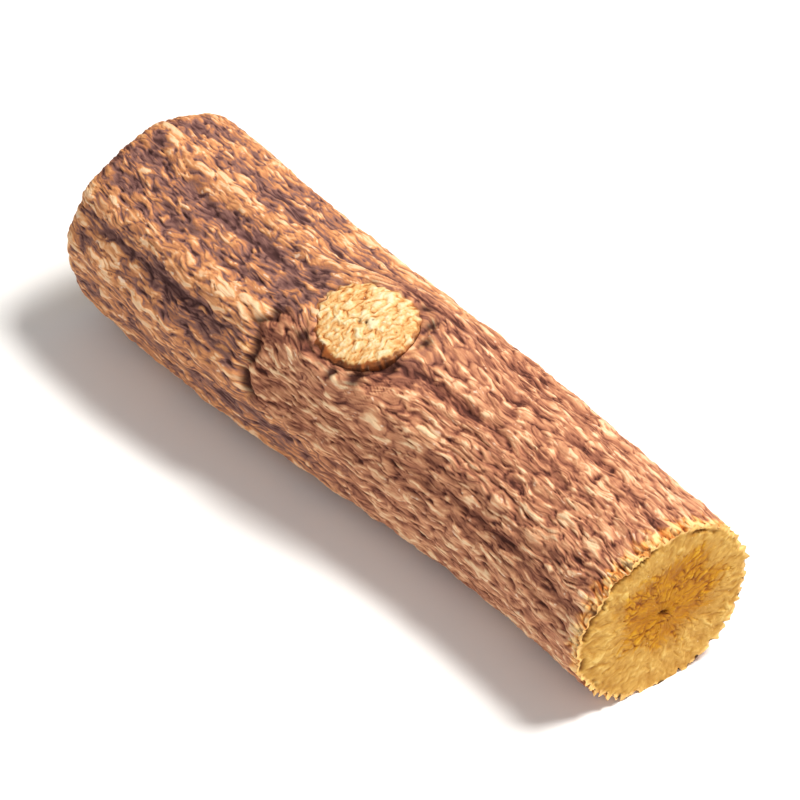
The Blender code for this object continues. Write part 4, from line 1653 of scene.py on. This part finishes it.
@dataclass(frozen=True)
class BranchScar:
    """The cut face of the side branch: a low, lumpy dome with a torn edge.

    Attributes:
        form: the root's main form.
        columns: how many points each ring has.
        rings: how many rings the face has.
        teeth: how many torn teeth stand round its edge.
        middle: the mm at which its patterns have the face's middle, along and across.
        holes: each small hole's place in those mm, its half-width and its strength.
        skirt: the rings below the edge: each one's share of the outline and its drop in mm.
    """

    form: RootForm
    columns: int = 264
    rings: int = 54
    teeth: int = 22
    middle: float = 30.0
    holes: tuple[tuple[float, float, float, float], ...] = (
        (30.1, 30.0, 0.17, 1.0),
        (29.5, 30.3, 0.15, 0.9),
        (30.5, 29.5, 0.12, 0.8),
    )
    skirt: tuple[tuple[float, float], ...] = ((0.96, 1.6), (0.985, 0.95), (0.995, 0.60))

    def build(self, finish: bpy.types.Material) -> bpy.types.Object:
        """The dome and the skirt that runs down into the bark.

        Args:
            finish: its material.

        Returns:
            The piece.
        """
        form = self.form
        face = float(form.plain_radius(np.array(form.scar_x))) + form.scar_rise
        angle = np.linspace(0.0, FULL_TURN, self.columns, endpoint=False)
        share = 1.0 - np.linspace(0.0, 1.0, self.rings) * 0.985
        s, a = np.meshgrid(share, angle, indexing="ij")
        flat_u = s * form.scar_half_length * np.cos(a) / MM + self.middle
        flat_v = s * form.scar_half_width * np.sin(a) / MM + self.middle
        bend = 0.30 * soft_noise(flat_u / 0.9, flat_v / 0.9, NEVER, 315)
        slide = 0.30 * soft_noise(flat_u / 0.9, flat_v / 0.9, NEVER, 316)
        threads = pillows((flat_u + bend) / 0.78, (flat_v + slide) / 1.45, NEVER, 311)
        nubs = pillows((flat_u + bend) / 0.46, (flat_v + slide) / 0.66, NEVER, 312)
        ripple = layered_noise(flat_u / 2.0, flat_v / 2.0, NEVER, 313, 2)
        pick = soft_noise(flat_u / 1.1, flat_v / 1.1, NEVER, 317)
        lines = soft_peak(threads, 0.20) * smooth_step(-0.05, 0.35, pick)
        lines += 0.6 * soft_peak(nubs, 0.20) * smooth_step(-0.1, -0.4, pick)
        holes = np.zeros_like(s)
        for hole_u, hole_v, width, strength in self.holes:
            holes += strength * soft_peak(np.hypot(flat_u - hole_u, flat_v - hole_v), width)

        near = smooth_step(0.84, 1.0, s)
        height = 0.08 * threads + 0.05 * nubs + 0.10 * ripple - 0.05 * lines
        height *= 1.0 - 0.4 * near
        height -= 0.25 * holes + 0.18 * near**2 + 0.24
        grow = near * (form.tooth_depth * self._teeth(angle)[None, :] - 0.05 * MM)
        rows = [
            self._oval(np.full_like(angle, part), angle, 0.0 * angle, face - drop * MM)[None]
            for part, drop in self.skirt
        ]
        rows.append(self._oval(s, a, grow, face + height * MM))
        points = np.concatenate(rows)
        tips = [points[-1].mean(axis=0), points[0].mean(axis=0)]
        total = len(points)
        last = total * self.columns
        faces = grid_faces(total, self.columns, flip=True).tolist()
        faces += fan_faces(last - self.columns, self.columns, last, flip=True)
        faces += fan_faces(0, self.columns, last + 1)

        tone = 0.54 + 0.28 * (threads - 0.4) + 0.20 * (nubs - 0.4) - 0.46 * lines + 0.12 * ripple
        edge, shade, stripes = self._edge(s, a)
        grain = np.stack([flat_u, flat_v, 0.0 * s], axis=-1)
        # The holes' own dark colour, and painted shade under the lower edge.
        dark = np.clip(0.9 * holes + 0.8 * shade, 0.0, 1.0)
        values = {
            "tone": self._whole(tone, 0.2),
            "edge": self._whole(edge, 1.0),
            # Painted shade down the skirt below the edge, in stripes.
            "dark": self._whole(dark, 0.45 + 0.55 * stripes),
            "grain": self._whole(grain, grain[0]),
        }
        every_point = np.vstack([points.reshape(-1, 3), tips])
        piece = new_piece("branch_scar", every_point, faces, values, finish)
        return piece

    def _teeth(self, angle: np.ndarray) -> np.ndarray:
        """How far the torn edge stands out or in at each angle, in teeth."""
        count = 2 * self.teeth
        number = np.arange(count)
        sign = np.where(number % 2 == 0, 1.0, -1.0)
        size = sign * (0.65 + 0.35 * scatter(number + 31))
        turns = angle / FULL_TURN
        tooth = np.interp(turns * count, np.arange(count + 1), np.append(size, size[0]))
        tooth += 0.5 * soft_noise(turns * 90, angle * 0.0 + 0.5, 90, 301)
        return tooth + 0.7 * soft_noise(turns * 16, angle * 0.0 + 0.5, 16, 302)

    def _edge(
        self, s: np.ndarray, a: np.ndarray
    ) -> tuple[np.ndarray, np.ndarray, np.ndarray]:
        """The browned edge of the face, strongest on its lower side.

        Args:
            s: how far out each point is, as a share of the outline.
            a: its angle.

        Returns:
            How brown each point is, how much painted shade it has, and the stripes of that shade at
            each angle.
        """
        turns = a / FULL_TURN
        low = smooth_step(-0.3, 0.8, np.sin(a))
        inner = 0.955 - 0.045 * low + 0.05 * soft_noise(turns * 64, 0.0 * a + 2.5, 64, 318)
        edge = (0.75 + 0.25 * low) * smooth_step(inner - 0.02, inner + 0.03, s)
        rust = soft_noise(turns * 40, s * 9.0, 40, 319)
        stripes = smooth_step(-0.5, 0.4, soft_noise(turns[0] * 74, 0.0 * a[0] + 4.5, 74, 320))
        shade = (0.2 + 0.8 * low) * (0.35 + 0.7 * stripes[None, :] + rust)
        shade *= smooth_step(0.90, 0.98, s)
        return np.clip(edge, 0.0, 1.0), np.clip(shade, 0.0, 1.0), stripes

    def _whole(self, numbers: np.ndarray, below: np.ndarray | float) -> np.ndarray:
        """The face's values, with the skirt's before them and the two tips' after."""
        first = np.broadcast_to(below, (len(self.skirt), *numbers.shape[1:]))
        joined = np.concatenate([first, numbers])
        ends = np.stack([numbers[-1, 0], joined[0, 0]])
        return np.concatenate([joined.reshape(-1, *numbers.shape[2:]), ends])

    def _oval(
        self,
        share: np.ndarray,
        angle: np.ndarray,
        grow: np.ndarray,
        lift: np.ndarray | float,
    ) -> np.ndarray:
        """Points of the domed face.

        Args:
            share: how far out in the outline each point is, from 0 to 1.
            angle: where round the outline it is.
            grow: how far beyond the outline it is moved.
            lift: its distance from the stick's axis, at the middle of the dome.

        Returns:
            The points, with one row of three for each.
        """
        form = self.form
        middle, along, across, out = form.scar_frame()
        ahead = (share * form.scar_half_length + grow) * np.cos(angle)
        aside = (share * form.scar_half_width + grow) * np.sin(angle)
        domed = lift - form.scar_dome * (share * np.sin(angle)) ** 2
        flat = ahead[..., None] * along + aside[..., None] * across
        return middle + flat + domed[..., None] * out


# The stage


@dataclass(frozen=True)
class Lamp:
    """One soft square light that faces the root.

    Attributes:
        name: its name.
        azimuth: its bearing round the root, in degrees.
        elevation: its height, in degrees.
        distance: how far away it is.
        size: the length of its side.
        power: its strength in watts.
        tint: its colour.
    """

    name: str
    azimuth: float
    elevation: float
    distance: float
    size: float
    power: float
    tint: Colour


@dataclass(frozen=True)
class Studio:
    """The floor, the lights and the camera.

    Attributes:
        azimuth: the camera's bearing round the root, in degrees.
        elevation: its height above the floor, in degrees.
        distance: how far it is from its target.
        lens: its focal length in mm.
        sensor: its sensor's width in mm.
        target: what the camera and the lights face.
        floor_half: half the floor's side.
        sky: the colour of the light from all round.
        sky_strength: how strong that light is.
        lamps: the lights.
    """

    azimuth: float = 50.72
    elevation: float = 39.90
    distance: float = 470 * MM
    lens: float = 235.1
    sensor: float = 36.0
    target: tuple[float, float, float] = (0.06 * MM, 0.73 * MM, 9.2 * MM)
    floor_half: float = 1.6
    sky: Colour = (1.0, 0.99, 0.98)
    sky_strength: float = 0.28
    lamps: tuple[Lamp, ...] = (
        Lamp("key", 140.0, 62.0, 0.55, 0.17, 3.9, (1.0, 0.98, 0.95)),
        Lamp("fill", 60.0, 30.0, 0.65, 0.60, 0.9, (0.98, 0.98, 1.0)),
        Lamp("side", -50.0, 40.0, 0.60, 0.40, 0.4, (1.0, 0.98, 0.95)),
    )

    def direction(self, azimuth: float, elevation: float) -> Vector:
        """The direction from the root towards that bearing and height."""
        turn, rise = np.radians(azimuth), np.radians(elevation)
        return Vector((np.sin(turn) * np.cos(rise), -np.cos(turn) * np.cos(rise), np.sin(rise)))

    def build(self) -> None:
        """Makes the floor, the lights and the camera."""
        self._floor()
        self._camera()
        for lamp in self.lamps:
            self._light(lamp)
        world = bpy.data.worlds.new("studio")
        bpy.context.scene.world = world
        world.use_nodes = True
        background = world.node_tree.nodes["Background"].inputs
        background["Color"].default_value = (*self.sky, 1.0)
        background["Strength"].default_value = self.sky_strength

    def _place(self, name: str, data: bpy.types.ID) -> bpy.types.Object:
        """Adds an object to the scene."""
        made = bpy.data.objects.new(name, data)
        bpy.context.scene.collection.objects.link(made)
        return made

    def _aim(
        self, thing: bpy.types.Object, azimuth: float, elevation: float, distance: float
    ) -> None:
        """Puts a camera or a light at a bearing, height and distance, facing the target."""
        out = self.direction(azimuth, elevation)
        thing.location = Vector(self.target) + out * distance
        thing.rotation_euler = out.to_track_quat("Z", "Y").to_euler()

    def _floor(self) -> None:
        """A wide pale floor under the root."""
        mesh = bpy.data.meshes.new("floor")
        half = self.floor_half
        square = [(-half, -half, 0.0), (half, -half, 0.0), (half, half, 0.0), (-half, half, 0.0)]
        mesh.from_pydata(square, [], [(0, 1, 2, 3)])
        mesh.materials.append(FloorFinish().build())
        self._place("floor", mesh)

    def _camera(self) -> None:
        """The camera, at the photograph's viewing angle."""
        data = bpy.data.cameras.new("camera")
        data.lens = self.lens
        data.sensor_width = self.sensor
        data.clip_start = 0.01
        camera = self._place("camera", data)
        self._aim(camera, self.azimuth, self.elevation, self.distance)
        bpy.context.scene.camera = camera

    def _light(self, lamp: Lamp) -> None:
        """One of the lights."""
        data = bpy.data.lights.new(lamp.name, "AREA")
        data.shape = "SQUARE"
        data.size = lamp.size
        data.energy = lamp.power
        data.color = lamp.tint
        self._aim(self._place(lamp.name, data), lamp.azimuth, lamp.elevation, lamp.distance)


def main() -> None:
    """Builds the root's pieces in order, and then the stage."""
    logging.basicConfig(level=logging.INFO, format="%(message)s")
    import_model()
    form = RootForm()
    effects = SharedEffects()
    bark_finish = BarkFinish().build(effects)
    wood_finish = CutWoodFinish().build(effects)
    scar_finish = ScarWoodFinish().build(effects)
    bark = Bark(form)
    pieces = [
        *bark.build(bark_finish),
        CutFace(form, "front_cut", 1.0, 131).build(bark, wood_finish),
        CutFace(form, "rear_cut", -1.0, 171, freshness=0.6).build(bark, wood_finish),
        BranchScar(form).build(scar_finish),
    ]
    for piece in pieces:
        LOG.info("%s: %d faces", piece.name, len(piece.data.polygons))
    Studio().build()
    bpy.context.scene.view_settings.view_transform = "Standard"


if __name__ == "__main__":
    main()
